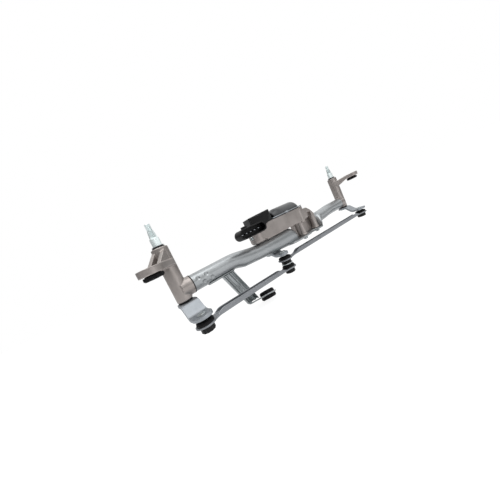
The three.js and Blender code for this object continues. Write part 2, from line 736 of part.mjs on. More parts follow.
// The channel is drawn in X and Z, so that it leans from the saddle to the foot
function strutChannel() {
  const half = strut.width / 2;
  const top = tubeAxisLeft - tube.radius - seatGap - strut.sheet;
  const bottom = strut.footZ;
  const front = strut.back - strut.depth;
  const panel = (leftIn, rightIn, y0, y1) => {
    const outline = [
      [strut.footX - half + leftIn, bottom], [strut.footX + half - rightIn, bottom],
      [strut.topX + half - rightIn, top + strut.sheet], [strut.topX - half + leftIn, top + strut.sheet],
    ];
    return sideView(outline, (y1 - y0) / 2).translate(0, (y0 + y1) / 2, 0);
  };
  const web = panel(0, 0, strut.back - strut.sheet, strut.back);
  const leftFlange = panel(0, strut.width - strut.sheet, front, strut.back);
  const rightFlange = panel(strut.width - strut.sheet, 0, front, strut.back);
  const beads = [-1, 1].map((side) => {
    const from = new THREE.Vector3(strut.footX + side * strutBead.spread, strut.back - strut.sheet, bottom);
    const to = new THREE.Vector3(strut.topX + side * strutBead.spread, strut.back - strut.sheet, top);
    const along = to.clone().sub(from);
    const turn = new THREE.Quaternion().setFromUnitVectors(unitAxis.z, along.clone().normalize());
    return drum(strutBead.radius, 0, along.length(), smallSides).applyQuaternion(turn)
      .translate(from.x, from.y, from.z);
  });
  return join(web, leftFlange, rightFlange, ...beads);
}

function strutFoot() {
  const half = strut.sheet / 2;
  const rootLocal = new THREE.Vector2(strut.footX - strutPad.x, strut.back - strut.width / 2 - strutPad.y);
  const outline = capsule(rootLocal, strut.width / 2, new THREE.Vector2(), strutPad.radius);
  return onPad(slab(outline, -half, half));
}

function strutBracket() {
  const hole = onPad(drum(strutGrommet.stemRadius + seatGap, -cutOverrun, cutOverrun));
  const body = join(strutSaddle(), strutChannel(), strutFoot());
  return cut(body, hole);
}

function padGrommet() {
  const half = strut.sheet / 2;
  const seat = half + seatGap;
  const face = seat + strutGrommet.disc;
  const inner = sleeve.radius + seatGap;
  const { radius, stemRadius } = strutGrommet;
  return onPad(turned([
    [inner, -face], [radius, -face], [radius, -seat], [stemRadius, -seat],
    [stemRadius, seat], [radius, seat], [radius, face], [inner, face], [inner, -face],
  ]));
}

function padSleeve() {
  const face = strut.sheet / 2 + seatGap + strutGrommet.disc + sleeve.proud;
  return onPad(ring(sleeve.radius, sleeve.bore, -face, face, smallSides));
}

part('strut_bracket', strutBracket(), 'zinc', assembly);
part('strut_mount_grommet', padGrommet(), 'rubber', assembly);
part('strut_mount_sleeve', padSleeve(), 'zinc', assembly);

// Gearbox casting: gear chamber, cradle for the motor, output boss and three feet on the plate

const outputAxis = motorAxis;
const shaftBore = shaft.radius + runningGap + shaftBush.wall + seatGap;
const footBottom = plate.top + seatGap;

function castingOutline() {
  const { front, back, right, rightCorner, bottom, top } = casting;
  const main = polygon([
    [lobe.x, front], [right - rightCorner, front], [right, front + rightCorner], [right, back],
    [outputAxis.x, back], [lobe.x, front + lobe.radius],
  ]);
  const nose = new THREE.Vector2(lobe.x, front + lobe.radius);
  const round = capsule(outputAxis, chamber.radius + chamber.wall, nose, lobe.radius);
  return join(slab(main, bottom, top), slab(round, bottom, top, arcSteps));
}

// The box beyond the motor that carries the outer foot, and the web behind the feet
function bridgeSolid() {
  const { halfWidth, top, bottom, slope } = bridge;
  const start = casting.right - casting.rightCorner;
  const body = sideView([[start, bottom], [slope[0][0], bottom], ...slope, [start, top]], halfWidth);
  const slot = block(
    pocket.start, pocket.end, -halfWidth - cutOverrun, pocket.depth - halfWidth,
    bottom - cutOverrun, pocket.top,
  );
  const webTop = bottom + cutOverrun;
  const web = block(footWeb.start, footWeb.end, footWeb.front, footWeb.back, footBottom, webTop);
  return join(cut(body, slot), web);
}

// The room for the wheel stops at a wall that carries the motor shaft
function castingHollows() {
  const { x, y } = outputAxis;
  const over = casting.top + cutOverrun;
  const wallStart = cover.right - cover.wall;
  const beyond = block(wallStart, casting.right, casting.front, casting.right, 0, over + cutOverrun);
  const gearRoom = cut(drum(chamber.radius, chamber.floor, over, largeSides).translate(x, y, 0), beyond);
  const shaftRadius = motorShaft.radius + seatGap;
  const lying = [
    drum(motor.radius + seatGap, motorNeck.start - seatGap, motor.end + seatGap, largeSides),
    drum(wormChannel.radius, wormChannel.start, wallStart, smallSides),
    drum(shaftRadius, wormChannel.pocketStart, motorNeck.start, smallSides),
  ].map((tool) => alongX(tool).translate(0, motor.y, motor.z));
  const slot = (start, end, radius) => {
    return block(start, end, motor.y - radius, motor.y + radius, motor.z, over);
  };
  const slots = [
    slot(wormChannel.start, wallStart, wormChannel.radius),
    slot(wormChannel.pocketStart, motorNeck.start, shaftRadius),
  ];
  const bore = drum(shaftBore, boss.bottom - cutOverrun, chamber.floor + cutOverrun).translate(x, y, 0);
  return [gearRoom, ...lying, ...slots, bore];
}

// Moves a piece that points along +Z so that it points out of the lobe's round side
function lobeScrewPlace(geometry) {
  const seat = lobe.radius - lobeScrew.spotDepth;
  return alongX(geometry.translate(0, 0, seat)).rotateZ(lobeScrew.angle)
    .translate(lobe.x, casting.front + lobe.radius, lobeScrew.z);
}

function gearboxHousing() {
  const { x, y } = outputAxis;
  const bossSolid = drum(boss.radius, boss.bottom, casting.bottom + cutOverrun).translate(x, y, 0);
  const legs = feet.map((place) => {
    const leg = drum(foot.radius, footBottom, bridge.bottom + cutOverrun, smallSides);
    return leg.translate(place.x, place.y, 0);
  });
  const screwHoles = feet.map((place) => {
    const top = footBottom + foot.screwDepth;
    const hole = drum(foot.screwBore + seatGap, footBottom - cutOverrun, top, smallSides);
    return hole.translate(place.x, place.y, 0);
  });
  const lobeHoleEnd = -smallScrew.reach - seatGap;
  const lobeHole = lobeScrewPlace(drum(smallScrew.radius + seatGap, lobeHoleEnd, cutOverrun, smallSides));
  const lobeSpot = lobeScrewPlace(drum(smallScrew.headRadius + seatGap, 0, cutOverrun, smallSides));
  const coverHoles = coverScrewPlaces().map((place) => {
    const low = casting.top - smallScrew.reach - seatGap;
    const hole = drum(smallScrew.radius + seatGap, low, casting.top + cutOverrun, smallSides);
    return hole.translate(place.x, place.y, 0);
  });
  const body = join(castingOutline(), bridgeSolid(), bossSolid, ...legs);
  return cut(body, ...castingHollows(), ...screwHoles, ...coverHoles, lobeHole, lobeSpot);
}

// Screws that hold the black cover to the casting, along its front
function coverScrewPlaces() {
  return [
    { x: cover.left + coverScrewInset.x, y: cover.front + coverScrewInset.y },
    { x: cover.frontRight - coverScrewInset.x, y: cover.front + coverScrewInset.y },
  ];
}

part('gearbox_housing', gearboxHousing(), 'casting', assembly);

const screwGroup = groupAt(assembly, 0, 0);

function footScrewSolid(place) {
  const low = plateLow - seatGap;
  const top = footBottom + footScrew.reach;
  return turned([
    [0, low - footScrew.headHeight], [footScrew.headRadius, low - footScrew.headHeight],
    [footScrew.headRadius, low], [footScrew.radius, low], [footScrew.radius, top], [0, top],
  ], smallSides).translate(place.x, place.y, 0);
}

const footScrewNames = ['motor_screw_front_left', 'motor_screw_front_right', 'motor_screw_rear'];
feet.forEach((place, i) => part(footScrewNames[i], footScrewSolid(place), 'zinc', screwGroup));

// Gasket and clamp frame that lie on the casting's rim round the motor

function rimFrame(low, high) {
  const start = cover.right + 2 * seatGap;
  const { front, back, right, rightCorner } = casting;
  const lean = rimLip.side * (Math.SQRT2 - 1);
  const slant = front - cover.front + cover.frontRight + 2 * seatGap * Math.SQRT2;
  const outline = polygon([
    [slant, front], [right - rightCorner, front], [right, front + rightCorner], [right, back], [start, back],
    [start, front + start - slant],
  ]);
  const window = polygon([
    [slant - cutOverrun, front + rimLip.side], [right - rightCorner - lean, front + rimLip.side],
    [right - rimLip.side, front + rightCorner + lean], [right - rimLip.side, back - rimLip.back],
    [slant - cutOverrun, back - rimLip.back],
  ]);
  return cut(slab(outline, low, high), slab(window, low - cutOverrun, high + cutOverrun));
}

const gasketBottom = casting.top + seatGap;
const gasketTop = gasketBottom + gasket.thickness;
part('motor_gasket', rimFrame(gasketBottom, gasketTop), 'rubber', assembly);
const frameBottom = gasketTop + seatGap;
const clampSolid = rimFrame(frameBottom, frameBottom + clampFrame.thickness);
part('motor_clamp_frame', clampSolid, 'bright', assembly);

// Motor can, field magnets, brush card and end bush

const motorGroup = groupAt(assembly, 0, motor.y, motor.z);

function canProfile(inset) {
  const { radius, bodyStart, end, domeRadius } = motor;
  const points = [[motorNeck.radius - inset, motorNeck.start], [radius - inset, bodyStart]];
  const round = domeRadius - inset;
  for (let i = 0; i <= domeSteps; i += 1) {
    const angle = (quarterTurn * i) / domeSteps;
    points.push([radius - domeRadius + round * Math.cos(angle), end - domeRadius + round * Math.sin(angle)]);
  }
  return points;
}

function motorCan() {
  const outer = canProfile(0);
  const inner = canProfile(motor.wall);
  inner[0][1] = motorNeck.start;
  return alongX(turned([
    ...outer, [0, motor.end], [0, motor.end - motor.wall], ...inner.reverse(), outer[0],
  ], largeSides));
}

part('motor_can', motorCan(), 'paint', motorGroup);

function arcSegment(outer, inner, middle, halfAngle, low, high) {
  const shape = new THREE.Shape();
  shape.absarc(0, 0, outer, middle - halfAngle, middle + halfAngle, false);
  shape.absarc(0, 0, inner, middle + halfAngle, middle - halfAngle, true);
  return alongX(slab(shape, low, high));
}

function fieldMagnet(middle) {
  const outer = motor.radius - motor.wall - magnet.clearance;
  const inner = outer - magnet.thickness;
  return arcSegment(outer, inner, middle, magnetHalfAngle, magnet.start, magnet.start + magnet.length);
}

part('field_magnet_front', fieldMagnet(-quarterTurn), 'ferrite', motorGroup);
part('field_magnet_rear', fieldMagnet(quarterTurn), 'ferrite', motorGroup);

// The card carries the two carbon brushes on its right face
function brushCardSolid() {
  const face = brushCard.x + brushCard.thickness;
  const low = commutator.radius + seatGap;
  const half = brush.width / 2;
  const brushes = [1, -1].map((side) => {
    const middleHeight = side * (low + brush.reach / 2);
    const lowEnd = middleHeight - brush.reach / 2;
    return block(face - seatGap, face + brush.length, -half, half, lowEnd, lowEnd + brush.reach);
  });
  return join(alongX(ring(brushCard.radius, brushCard.bore, brushCard.x, face)), ...brushes);
}

part('brush_card', brushCardSolid(), 'blackPlastic', motorGroup);

const bushEnd = motor.end - motor.wall - seatGap;
const endBushBore = motorShaft.radius + runningGap;
const endBushSolid = alongX(ring(endBush.radius, endBushBore, bushEnd - endBush.length, bushEnd));
part('armature_end_bush', endBushSolid, 'bronze', motorGroup);

// Armature: shaft with the worm, commutator and slotted core

function helixRidge() {
  const turns = worm.length / worm.pitch;
  const steps = Math.round(turns * worm.stepsPerTurn);
  const rings = [];
  for (let i = 0; i <= steps; i += 1) {
    const angle = (i * fullTurn) / worm.stepsPerTurn;
    const height = (i * worm.pitch) / worm.stepsPerTurn;
    const root = worm.root * wormShares.root;
    const reach = worm.pitch * wormShares.foot;
    const section = [[root, -reach], [worm.tip, 0], [root, reach]];
    rings.push(section.map(([radius, lift]) => {
      return new THREE.Vector3(radius * Math.cos(angle), radius * Math.sin(angle), height + lift);
    }));
  }
  return loft(rings);
}

function armatureShaft() {
  const wormStart = outputAxis.x - worm.length / 2;
  const wormEnd = wormStart + worm.length;
  const tailStart = wormChannel.pocketStart + seatGap;
  const tail = alongX(drum(motorShaft.radius, tailStart, motorShaft.end, smallSides));
  const core = alongX(drum(worm.root, wormStart - worm.pitch, wormEnd + worm.pitch, smallSides));
  const ridge = alongX(helixRidge().translate(0, 0, wormStart));
  return join(tail, core, ridge);
}

part('armature_shaft', armatureShaft(), 'steel', motorGroup);

function armatureCore() {
  const { radius, start, length, slots, slotDepth, slotWidth } = armature;
  const whole = ring(radius, motorShaft.radius + seatGap, start, start + length, largeSides);
  const tools = [];
  for (let i = 0; i < slots; i += 1) {
    const groove = block(
      radius - slotDepth, radius + cutOverrun, -slotWidth / 2, slotWidth / 2, start - cutOverrun,
      start + length + cutOverrun,
    );
    tools.push(groove.rotateZ((i * fullTurn) / slots));
  }
  const bars = ring(
    commutator.radius, motorShaft.radius + seatGap, commutator.start, commutator.start + commutator.length,
  );
  const neck = ring(
    commutator.neckRadius, motorShaft.radius + seatGap, commutator.start, start + seatGap,
  );
  return alongX(join(cut(whole, ...tools), bars, neck));
}

part('armature_core', armatureCore(), 'steel', motorGroup);

// Worm wheel, output shaft, crank and the double ball pin

const crankGroup = groupAt(assembly, outputAxis.x, outputAxis.y);
const wheelTip = Math.abs(outputAxis.y - motor.y) - worm.tip - seatGap - runningGap;

function wheelOutline() {
  const points = [];
  const steps = 4 * wheel.teeth;
  const root = wheelTip - wheel.toothDepth;
  for (let i = 0; i < steps; i += 1) {
    const radius = i % 4 < 2 ? wheelTip : root;
    const angle = (i * fullTurn) / steps;
    points.push([radius * Math.cos(angle), radius * Math.sin(angle)]);
  }
  return polygon(points);
}

function wormWheel() {
  const half = wheel.thickness / 2;
  const whole = slab(wheelOutline(), motor.z - half, motor.z + half);
  const rimInner = wheelTip - 3 * wheel.toothDepth;
  const above = ring(rimInner, wheel.hubRadius, motor.z + wheel.web / 2, motor.z + half + cutOverrun);
  const below = ring(rimInner, wheel.hubRadius, motor.z - half - cutOverrun, motor.z - wheel.web / 2);
  const over = half + cutOverrun;
  const hole = drum(shaft.radius + seatGap, motor.z - over, motor.z + over, roundSides);
  return cut(whole, above, below, hole);
}

part('worm_wheel', wormWheel(), 'nylon', crankGroup);

const crankBottom = crank.hubTop - crank.thickness;
const pinPlateBottom = crank.pinTop - crank.thickness;
const shaftTop = motor.z + wheel.thickness / 2 + seatGap;

function outputShaft() {
  const threadEnd = crankBottom - shaft.threadReach;
  return turned([
    [0, threadEnd], [shaft.threadRadius, threadEnd], [shaft.threadRadius, crankBottom],
    [shaft.radius, crankBottom], [shaft.radius, shaftTop], [0, shaftTop],
  ], largeSides);
}

part('output_shaft', outputShaft(), 'steel', crankGroup);

const bushRadius = shaftBore - seatGap;
const bushBore = shaft.radius + runningGap;
const shaftBushSolid = ring(
  bushRadius, bushBore, boss.bottom + shaftBush.inset, chamber.floor - shaftBush.inset, largeSides,
);
const bossGroup = groupAt(assembly, outputAxis.x, outputAxis.y);
part('output_shaft_bush', shaftBushSolid, 'bronze', bossGroup);

// High at the hub, behind the frame tube, and low at the pin, so that it swings under the tube
function crankArm() {
  const reach = leverReach.length();
  const start = -crank.hubRadius - cutOverrun;
  const end = reach + crank.tipRadius + cutOverrun;
  const { hubTop, pinTop, thickness } = crank;
  const side = sideView([
    [start, crankBottom], [crankRamp.start - thickness / 2, crankBottom],
    [crankRamp.end - thickness / 2, pinPlateBottom], [end, pinPlateBottom], [end, pinTop],
    [crankRamp.end, pinTop], [crankRamp.start, hubTop], [start, hubTop],
  ], crank.hubRadius + cutOverrun);
  const tip = new THREE.Vector2(reach, 0);
  const outline = capsule(new THREE.Vector2(), crank.hubRadius, tip, crank.tipRadius);
  const low = pinPlateBottom - cutOverrun;
  const body = common(side, slab(outline, low, cutOverrun));
  const hubHole = drum(shaft.radius + seatGap, low, cutOverrun, largeSides);
  const pinHole = drum(crankPin.shank + seatGap, low, cutOverrun).translate(reach, 0, 0);
  return cut(body, hubHole, pinHole).rotateZ(leverReach.angle());
}

part('crank_arm', crankArm(), 'bright', crankGroup);

function crankNut() {
  const top = crankBottom - seatGap;
  const hexRadius = nut.acrossFlats / Math.sqrt(3);
  const hex = drum(hexRadius, top - nut.height, top, 6);
  const holeStart = top - nut.height - cutOverrun;
  return cut(hex, drum(shaft.threadRadius + seatGap, holeStart, top + cutOverrun, smallSides));
}

part('crank_nut', crankNut(), 'zinc', crankGroup);

function crankBallPin() {
  const upper = rodHeights.rightInner + ballAbovePlate;
  const lower = rodHeights.leftInner + ballAbovePlate;
  const head = crank.pinTop + seatGap;
  const collarTop = pinPlateBottom - seatGap;
  const discTop = rodHeights.rightInner - socket.throughDepth - boot.clearance;
  return turned([
    [0, head + crankPin.headHeight], [crankPin.headRadius, head + crankPin.headHeight],
    [crankPin.headRadius, head], [crankPin.shank, head], [crankPin.shank, collarTop],
    [ball.collarRadius, collarTop], [ball.collarRadius, collarTop - ball.collarHeight],
    [ball.neck, collarTop - ball.collarHeight],
    ...ballProfile(upper, true),
    [ball.neck, discTop], [crankPin.discRadius, discTop],
    [crankPin.discRadius, discTop - crankPin.discHeight], [ball.neck, discTop - crankPin.discHeight],
    ...ballProfile(lower, false),
  ]);
}

const pinGroup = groupAt(crankGroup, leverReach.x, leverReach.y);
part('crank_ball_pin', crankBallPin(), 'zinc', pinGroup);

// Link rods with a moulded ball socket and a rubber boot at each end

function rodSolid(length, startHeight, endHeight, startClear, endClear) {
  const { halfWidth, flangeWall, flangeHeight, taper, flat } = rodBody;
  const half = rodSheet / 2;
  const far = rodEndRadius + cutOverrun;
  const line = [
    [-far, startHeight], [flat, startHeight], [length - flat, endHeight], [length + far, endHeight],
  ];
  const band = (low, high) => [
    ...line.map(([x, z]) => [x, z + low]), ...line.slice().reverse().map(([x, z]) => [x, z + high]),
  ];
  const web = sideView(band(-half, half), rodEndRadius + cutOverrun);
  const lowest = Math.min(startHeight, endHeight) - rodEndRadius;
  const highest = Math.max(startHeight, endHeight) + rodEndRadius;
  const bar = polygon([[0, -halfWidth], [length, -halfWidth], [length, halfWidth], [0, halfWidth]]);
  const plan = join(
    slab(bar, lowest, highest),
    drum(rodEndRadius, lowest, highest),
    drum(rodEndRadius, lowest, highest).translate(length, 0, 0),
  );
  const slope = (endHeight - startHeight) / (length - 2 * flat);
  const level = (x) => startHeight + slope * Math.min(Math.max(x - flat, 0), length - 2 * flat);
  const first = startClear;
  const last = length - endClear;
  const flangeSide = [
    [first, level(first) - half], [last, level(last) - half], [last, level(last) + half],
    [last - taper, level(last - taper) - half + flangeHeight],
    [first + taper, level(first + taper) - half + flangeHeight], [first, level(first) + half],
  ];
  const flanges = [-1, 1].map((side) => {
    return sideView(flangeSide, flangeWall / 2).translate(0, side * (halfWidth - flangeWall / 2), 0);
  });
  const hole = drum(socket.radius + seatGap, lowest - cutOverrun, highest + cutOverrun);
  return cut(join(common(web, plan), ...flanges), hole, hole.clone().translate(length, 0, 0));
}

function socketSolid(through) {
  const half = rodSheet / 2 + seatGap;
  const depth = through ? socket.throughDepth : socket.depth;
  const top = half + socketFlange.height;
  const lead = socket.beadRadius - socket.radius;
  const body = turned([
    [0, -depth], [socket.radius - lead, -depth], [socket.radius, lead - depth],
    [socket.radius, -half - socket.beadHeight], [socket.beadRadius, -half - socket.beadHeight / 2],
    [socket.beadRadius, -half], [socket.radius, -half], [socket.radius, half],
    [socketFlange.radius, half], [socketFlange.radius, top], [0, top],
  ]);
  const bowl = ballProfile(ballAbovePlate, through, ball.radius + seatGap);
  const mouth = bowl[0][0];
  const over = top + cutOverrun;
  const room = turned([[0, over], [mouth, over], ...bowl, ...(through ? [[0, bowl[ballRings][1]]] : [])]);
  const neckRoom = drum(ball.neck + 2 * ballAbovePlate, -depth - cutOverrun, ballAbovePlate, smallSides);
  return through ? cut(body, room, neckRoom) : cut(body, room);
}

function bootSolid() {
  const low = rodSheet / 2 + socketFlange.height + 2 * seatGap;
  const inner = ball.neck + boot.clearance;
  const high = low + boot.height;
  const cover = Math.sqrt((ball.radius + seatGap) ** 2 - (low - ballAbovePlate) ** 2) + seatGap;
  return turned([
    [cover, low], [boot.radius, low], [boot.radius, low + boot.skirt], [boot.topRadius, high],
    [inner, high], [inner, ballAbovePlate + ball.radius], [cover, low],
  ]);
}

function rod(label, start, end, startHeight, endHeight, throughStart, throughEnd) {
  const along = end.clone().sub(start);
  const group = groupAt(assembly, start.x, start.y);
  group.rotation.z = along.angle();
  const length = along.length();
  const clear = label === 'left'
    ? [rodEndClear.leftOuter, rodEndClear.leftInner]
    : [rodEndClear.rightInner, rodEndClear.rightOuter];
  part(`${label}_link_rod`, rodSolid(length, startHeight, endHeight, ...clear), 'steel', group);
  const ends = [
    ['outer', label === 'left' ? 0 : length, label === 'left' ? startHeight : endHeight],
    ['inner', label === 'left' ? length : 0, label === 'left' ? endHeight : startHeight],
  ];
  for (const [place, x, height] of ends) {
    const through = place === 'inner' && (label === 'left' ? throughEnd : throughStart);
    const endGroup = groupAt(group, x, 0, height);
    part(`${label}_${place}_socket`, socketSolid(through), 'blackPlastic', endGroup);
    part(`${label}_${place}_boot`, bootSolid(), 'rubber', endGroup);
  }
}

const crankPoint = outputAxis.clone().add(leverReach);
const rightPoint = new THREE.Vector2(pivotSpacing, 0).add(leverReach);
rod('left', leverReach, crankPoint, rodHeights.leftOuter, rodHeights.leftInner, false, false);
rod('right', crankPoint, rightPoint, rodHeights.rightInner, rodHeights.rightOuter, true, false);

// Black gear cover with the control board under it

// Rounded at the left corner and over the wheel, slanted off towards the motor
function coverOutline(inset) {
  const { left, front, frontRight, right } = cover;
  const { corner, backRadius } = coverRound;
  const start = new THREE.Vector2(left + corner, front + corner);
  const lean = inset * (Math.SQRT2 - 1);
  const end = right - inset;
  const main = polygon([
    [start.x, front + inset], [frontRight - lean, front + inset],
    [end, front + right - frontRight + lean], [end, outputAxis.y], [outputAxis.x, outputAxis.y],
    [start.x, start.y],
  ]);
  return { main, round: capsule(outputAxis, backRadius - inset, start, corner - inset) };
}

// The top rises to the right, so the shell is the outline seen from above within a sloping side view
function coverShell(inset, low) {
  const { main, round } = coverOutline(inset);
  const high = cover.top + cover.rise + cutOverrun;
  const body = join(slab(main, low, high), slab(round, low, high, arcSteps));
  const start = cover.left - cutOverrun;
  const end = cover.right - inset;
  const far = outputAxis.y + coverRound.backRadius + cutOverrun;
  const side = sideView([
    [start, low], [end, low], [end, coverTop(end) - inset], [start, coverTop(start) - inset],
  ], far);
  return common(body, side);
}

function coverTop(x) {
  return cover.top + (cover.rise * (x - cover.left)) / (cover.right - cover.left);
}

function coverSolid() {
  const low = casting.top + seatGap;
  const columns = coverScrewPlaces().map(({ x, y }) => {
    return drum(coverColumn.radius, low, cover.top + cover.rise, smallSides).translate(x, y, 0);
  });
  const hollow = cut(coverShell(cover.wall, low - cutOverrun), ...columns);
  const wallStart = cover.right - cover.wall - cutOverrun;
  const shaftWay = alongX(
    drum(motorShaft.radius + seatGap, wallStart, cover.right + cutOverrun, smallSides),
  );
  const over = cover.top + cover.rise + cutOverrun;
  const holes = coverScrewPlaces().map(({ x, y }) => {
    const hole = drum(smallScrew.radius + seatGap, low - cutOverrun, over, smallSides);
    return hole.translate(x, y, 0);
  });
  const recesses = coverScrewPlaces().map(({ x, y }) => {
    const seat = cover.top - smallScrew.recess;
    return drum(smallScrew.headRadius + seatGap, seat, over, smallSides).translate(x, y, 0);
  });
  const hollows = [hollow, shaftWay.translate(0, motor.y, motor.z)];
  return cut(coverShell(0, low), ...hollows, ...holes, ...recesses);
}

part('gear_cover', coverSolid(), 'blackPlastic', assembly);

// The same small screw holds the cover down and plugs the side of the casting's lobe
function smallScrewSolid(reach) {
  return turned([
    [0, -reach], [smallScrew.radius, -reach], [smallScrew.radius, seatGap],
    [smallScrew.headRadius, seatGap], [smallScrew.headRadius, seatGap + smallScrew.headHeight],
    [0, seatGap + smallScrew.headHeight],
  ], smallSides);
}

const coverScrewNames = ['cover_screw_left', 'cover_screw_right'];
coverScrewPlaces().forEach(({ x, y }, i) => {
  const seat = cover.top - smallScrew.recess;
  const solid = smallScrewSolid(smallScrew.reach + seat - casting.top).translate(x, y, seat);
  part(coverScrewNames[i], solid, 'zinc', screwGroup);
});
part('lobe_plug_screw', lobeScrewPlace(smallScrewSolid(smallScrew.reach)), 'zinc', screwGroup);

const boardBottom = casting.top + seatGap;
const boardSolid = block(
  board.left, board.right, board.front, board.back, boardBottom, boardBottom + board.thickness,
);
part('park_switch_board', boardSolid, 'boardGreen', assembly);

// Connector: an oval shroud in front of the cover, with blade terminals and a latch

function stadium(width, height) {
  const radius = height / 2;
  const reach = width / 2 - radius;
  const shape = new THREE.Shape();
  shape.absarc(reach, 0, radius, -quarterTurn, quarterTurn, false);
  shape.absarc(-reach, 0, radius, quarterTurn, halfTurn + quarterTurn, false);
  return shape;
}

// A stadium prism from one Y value to another, nearer the front first
function ovalPrism(width, height, front, back) {
  const body = alongFront(slab(stadium(width, height), 0, back - front, stadiumSteps));
  return body.translate(connector.x, back, connector.z);
}

const connectorBack = casting.front - seatGap;
const cavityEnd = connector.front + connector.cavity;

const terminalMiddle = connector.x + terminal.shift;

function terminalPlaces() {
  const places = [];
  for (let i = 0; i < terminal.count; i += 1) {
    places.push(terminalMiddle + (i - (terminal.count - 1) / 2) * terminal.pitch);
  }
  return places;
}

const stripSlot = {
  front: connectorBack - terminal.stripDepth,
  back: connectorBack,
  halfWidth: ((terminal.count - 1) * terminal.pitch) / 2 + terminal.width,
  halfHeight: connector.height / 2 - 2 * connector.wall,
};

function bladeAt(x, extra, front, back) {
  const halfWidth = terminal.width / 2 + extra;
  const halfHeight = terminal.thickness / 2 + extra;
  return block(
    x - halfWidth, x + halfWidth, front, back, connector.z - halfHeight, connector.z + halfHeight,
  );
}

function connectorHousing() {
  const outer = ovalPrism(connector.width, connector.height, connector.front, connectorBack);
  const cavity = ovalPrism(
    connector.width - 2 * connector.wall, connector.height - 2 * connector.wall,
    connector.front - cutOverrun, cavityEnd,
  );
  const top = connector.z + connector.height / 2;
  const latchSolid = block(
    connector.x + latch.offset - latch.width / 2, connector.x + latch.offset + latch.width / 2,
    connector.front + latch.length / 4, connector.front + latch.length / 4 + latch.length,
    top - connector.wall / 2, top + latch.height,
  );
  const ways = terminalPlaces().map((x) => bladeAt(x, seatGap, connector.front, connectorBack));
  const slot = block(
    terminalMiddle - stripSlot.halfWidth, terminalMiddle + stripSlot.halfWidth, stripSlot.front,
    connectorBack + cutOverrun, connector.z - stripSlot.halfHeight, connector.z + stripSlot.halfHeight,
  );
  const flange = sideView(connectorFlange.outline, connectorFlange.thickness / 2)
    .translate(0, connectorBack - connectorFlange.thickness / 2, 0);
  return cut(join(outer, latchSolid, flange), cavity, ...ways, slot);
}

part('connector_housing', connectorHousing(), 'blackPlastic', assembly);

// The five blades share one moulded strip in a slot behind the cavity
function terminalStrip() {
  const front = cavityEnd - terminal.reach;
  const blades = terminalPlaces().map((x) => bladeAt(x, 0, front, stripSlot.back - seatGap));
  const halfWidth = stripSlot.halfWidth - seatGap;
  const halfHeight = stripSlot.halfHeight - seatGap;
  const bar = block(
    terminalMiddle - halfWidth, terminalMiddle + halfWidth,
    stripSlot.front + seatGap, stripSlot.back - seatGap,
    connector.z - halfHeight, connector.z + halfHeight,
  );
  return join(bar, ...blades);
}

part('connector_terminal_strip', terminalStrip(), 'bright', assembly);

export default assembly;
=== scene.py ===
import json
import math

import bmesh
import bpy
import numpy as np
from mathutils import Matrix, Vector

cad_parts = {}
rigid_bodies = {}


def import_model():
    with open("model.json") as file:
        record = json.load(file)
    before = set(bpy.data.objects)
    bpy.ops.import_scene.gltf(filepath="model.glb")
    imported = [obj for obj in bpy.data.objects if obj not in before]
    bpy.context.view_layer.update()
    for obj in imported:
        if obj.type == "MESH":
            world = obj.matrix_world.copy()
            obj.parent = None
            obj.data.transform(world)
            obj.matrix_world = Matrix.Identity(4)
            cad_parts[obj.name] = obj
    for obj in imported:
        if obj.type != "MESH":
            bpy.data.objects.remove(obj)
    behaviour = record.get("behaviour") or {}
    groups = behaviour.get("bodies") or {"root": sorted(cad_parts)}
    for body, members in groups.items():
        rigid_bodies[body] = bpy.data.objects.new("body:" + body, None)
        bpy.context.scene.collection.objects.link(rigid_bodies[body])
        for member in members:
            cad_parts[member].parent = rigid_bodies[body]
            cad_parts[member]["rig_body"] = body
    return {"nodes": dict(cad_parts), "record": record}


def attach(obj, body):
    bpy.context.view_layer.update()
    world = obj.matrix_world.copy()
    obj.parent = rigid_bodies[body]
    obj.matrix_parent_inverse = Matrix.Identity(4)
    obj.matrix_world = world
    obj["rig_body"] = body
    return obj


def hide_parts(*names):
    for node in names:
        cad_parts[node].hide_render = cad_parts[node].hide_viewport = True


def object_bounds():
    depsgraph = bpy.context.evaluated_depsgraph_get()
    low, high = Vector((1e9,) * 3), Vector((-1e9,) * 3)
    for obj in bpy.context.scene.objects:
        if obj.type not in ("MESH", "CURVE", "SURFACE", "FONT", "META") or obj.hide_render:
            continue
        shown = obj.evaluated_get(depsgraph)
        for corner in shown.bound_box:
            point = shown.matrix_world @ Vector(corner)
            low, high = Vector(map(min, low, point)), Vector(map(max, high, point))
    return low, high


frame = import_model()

cad_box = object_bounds()

# All shapes below are drawn in millimetres, from the lower end of the left barrel, and are
# turned into metres from the top of the left spindle when they are dressed.
MM = 0.001
RISE = 144.0
TURN = 2 * math.pi
# Room left between pieces that lie against one another
GAP = 0.3

# Camera of the photograph, in metres
CAMERA_PLACE = Vector((-0.076449, -0.362207, -0.080615))
CAMERA_RIGHT = Vector((0.72935, -0.53752, -0.42322))
CAMERA_UP = Vector((0.39977, -0.16717, 0.90124))
CAMERA_BACK = Vector((-0.55518, -0.82652, 0.09296))
LENS, SENSOR = 14.4, 36.0


def add_camera():
    data = bpy.data.cameras.new("camera")
    data.lens = LENS
    data.sensor_width = SENSOR
    data.clip_start = 0.01
    camera = bpy.data.objects.new("camera", data)
    bpy.context.scene.collection.objects.link(camera)
    turn = Matrix((CAMERA_RIGHT, CAMERA_UP, CAMERA_BACK)).transposed()
    camera.matrix_world = Matrix.Translation(CAMERA_PLACE) @ turn.to_4x4()
    bpy.context.scene.camera = camera


# Mesh kit

SAME_POINT, NO_LENGTH, TINY = 1e-4, 1e-5, 1e-6
LONGEST_EASE = 0.48
# Smoothing passes and share of faces kept: castings and gear cover, then thinner pieces
ROUNDER, CRISPER = (4, 0.4), (3, 0.35)


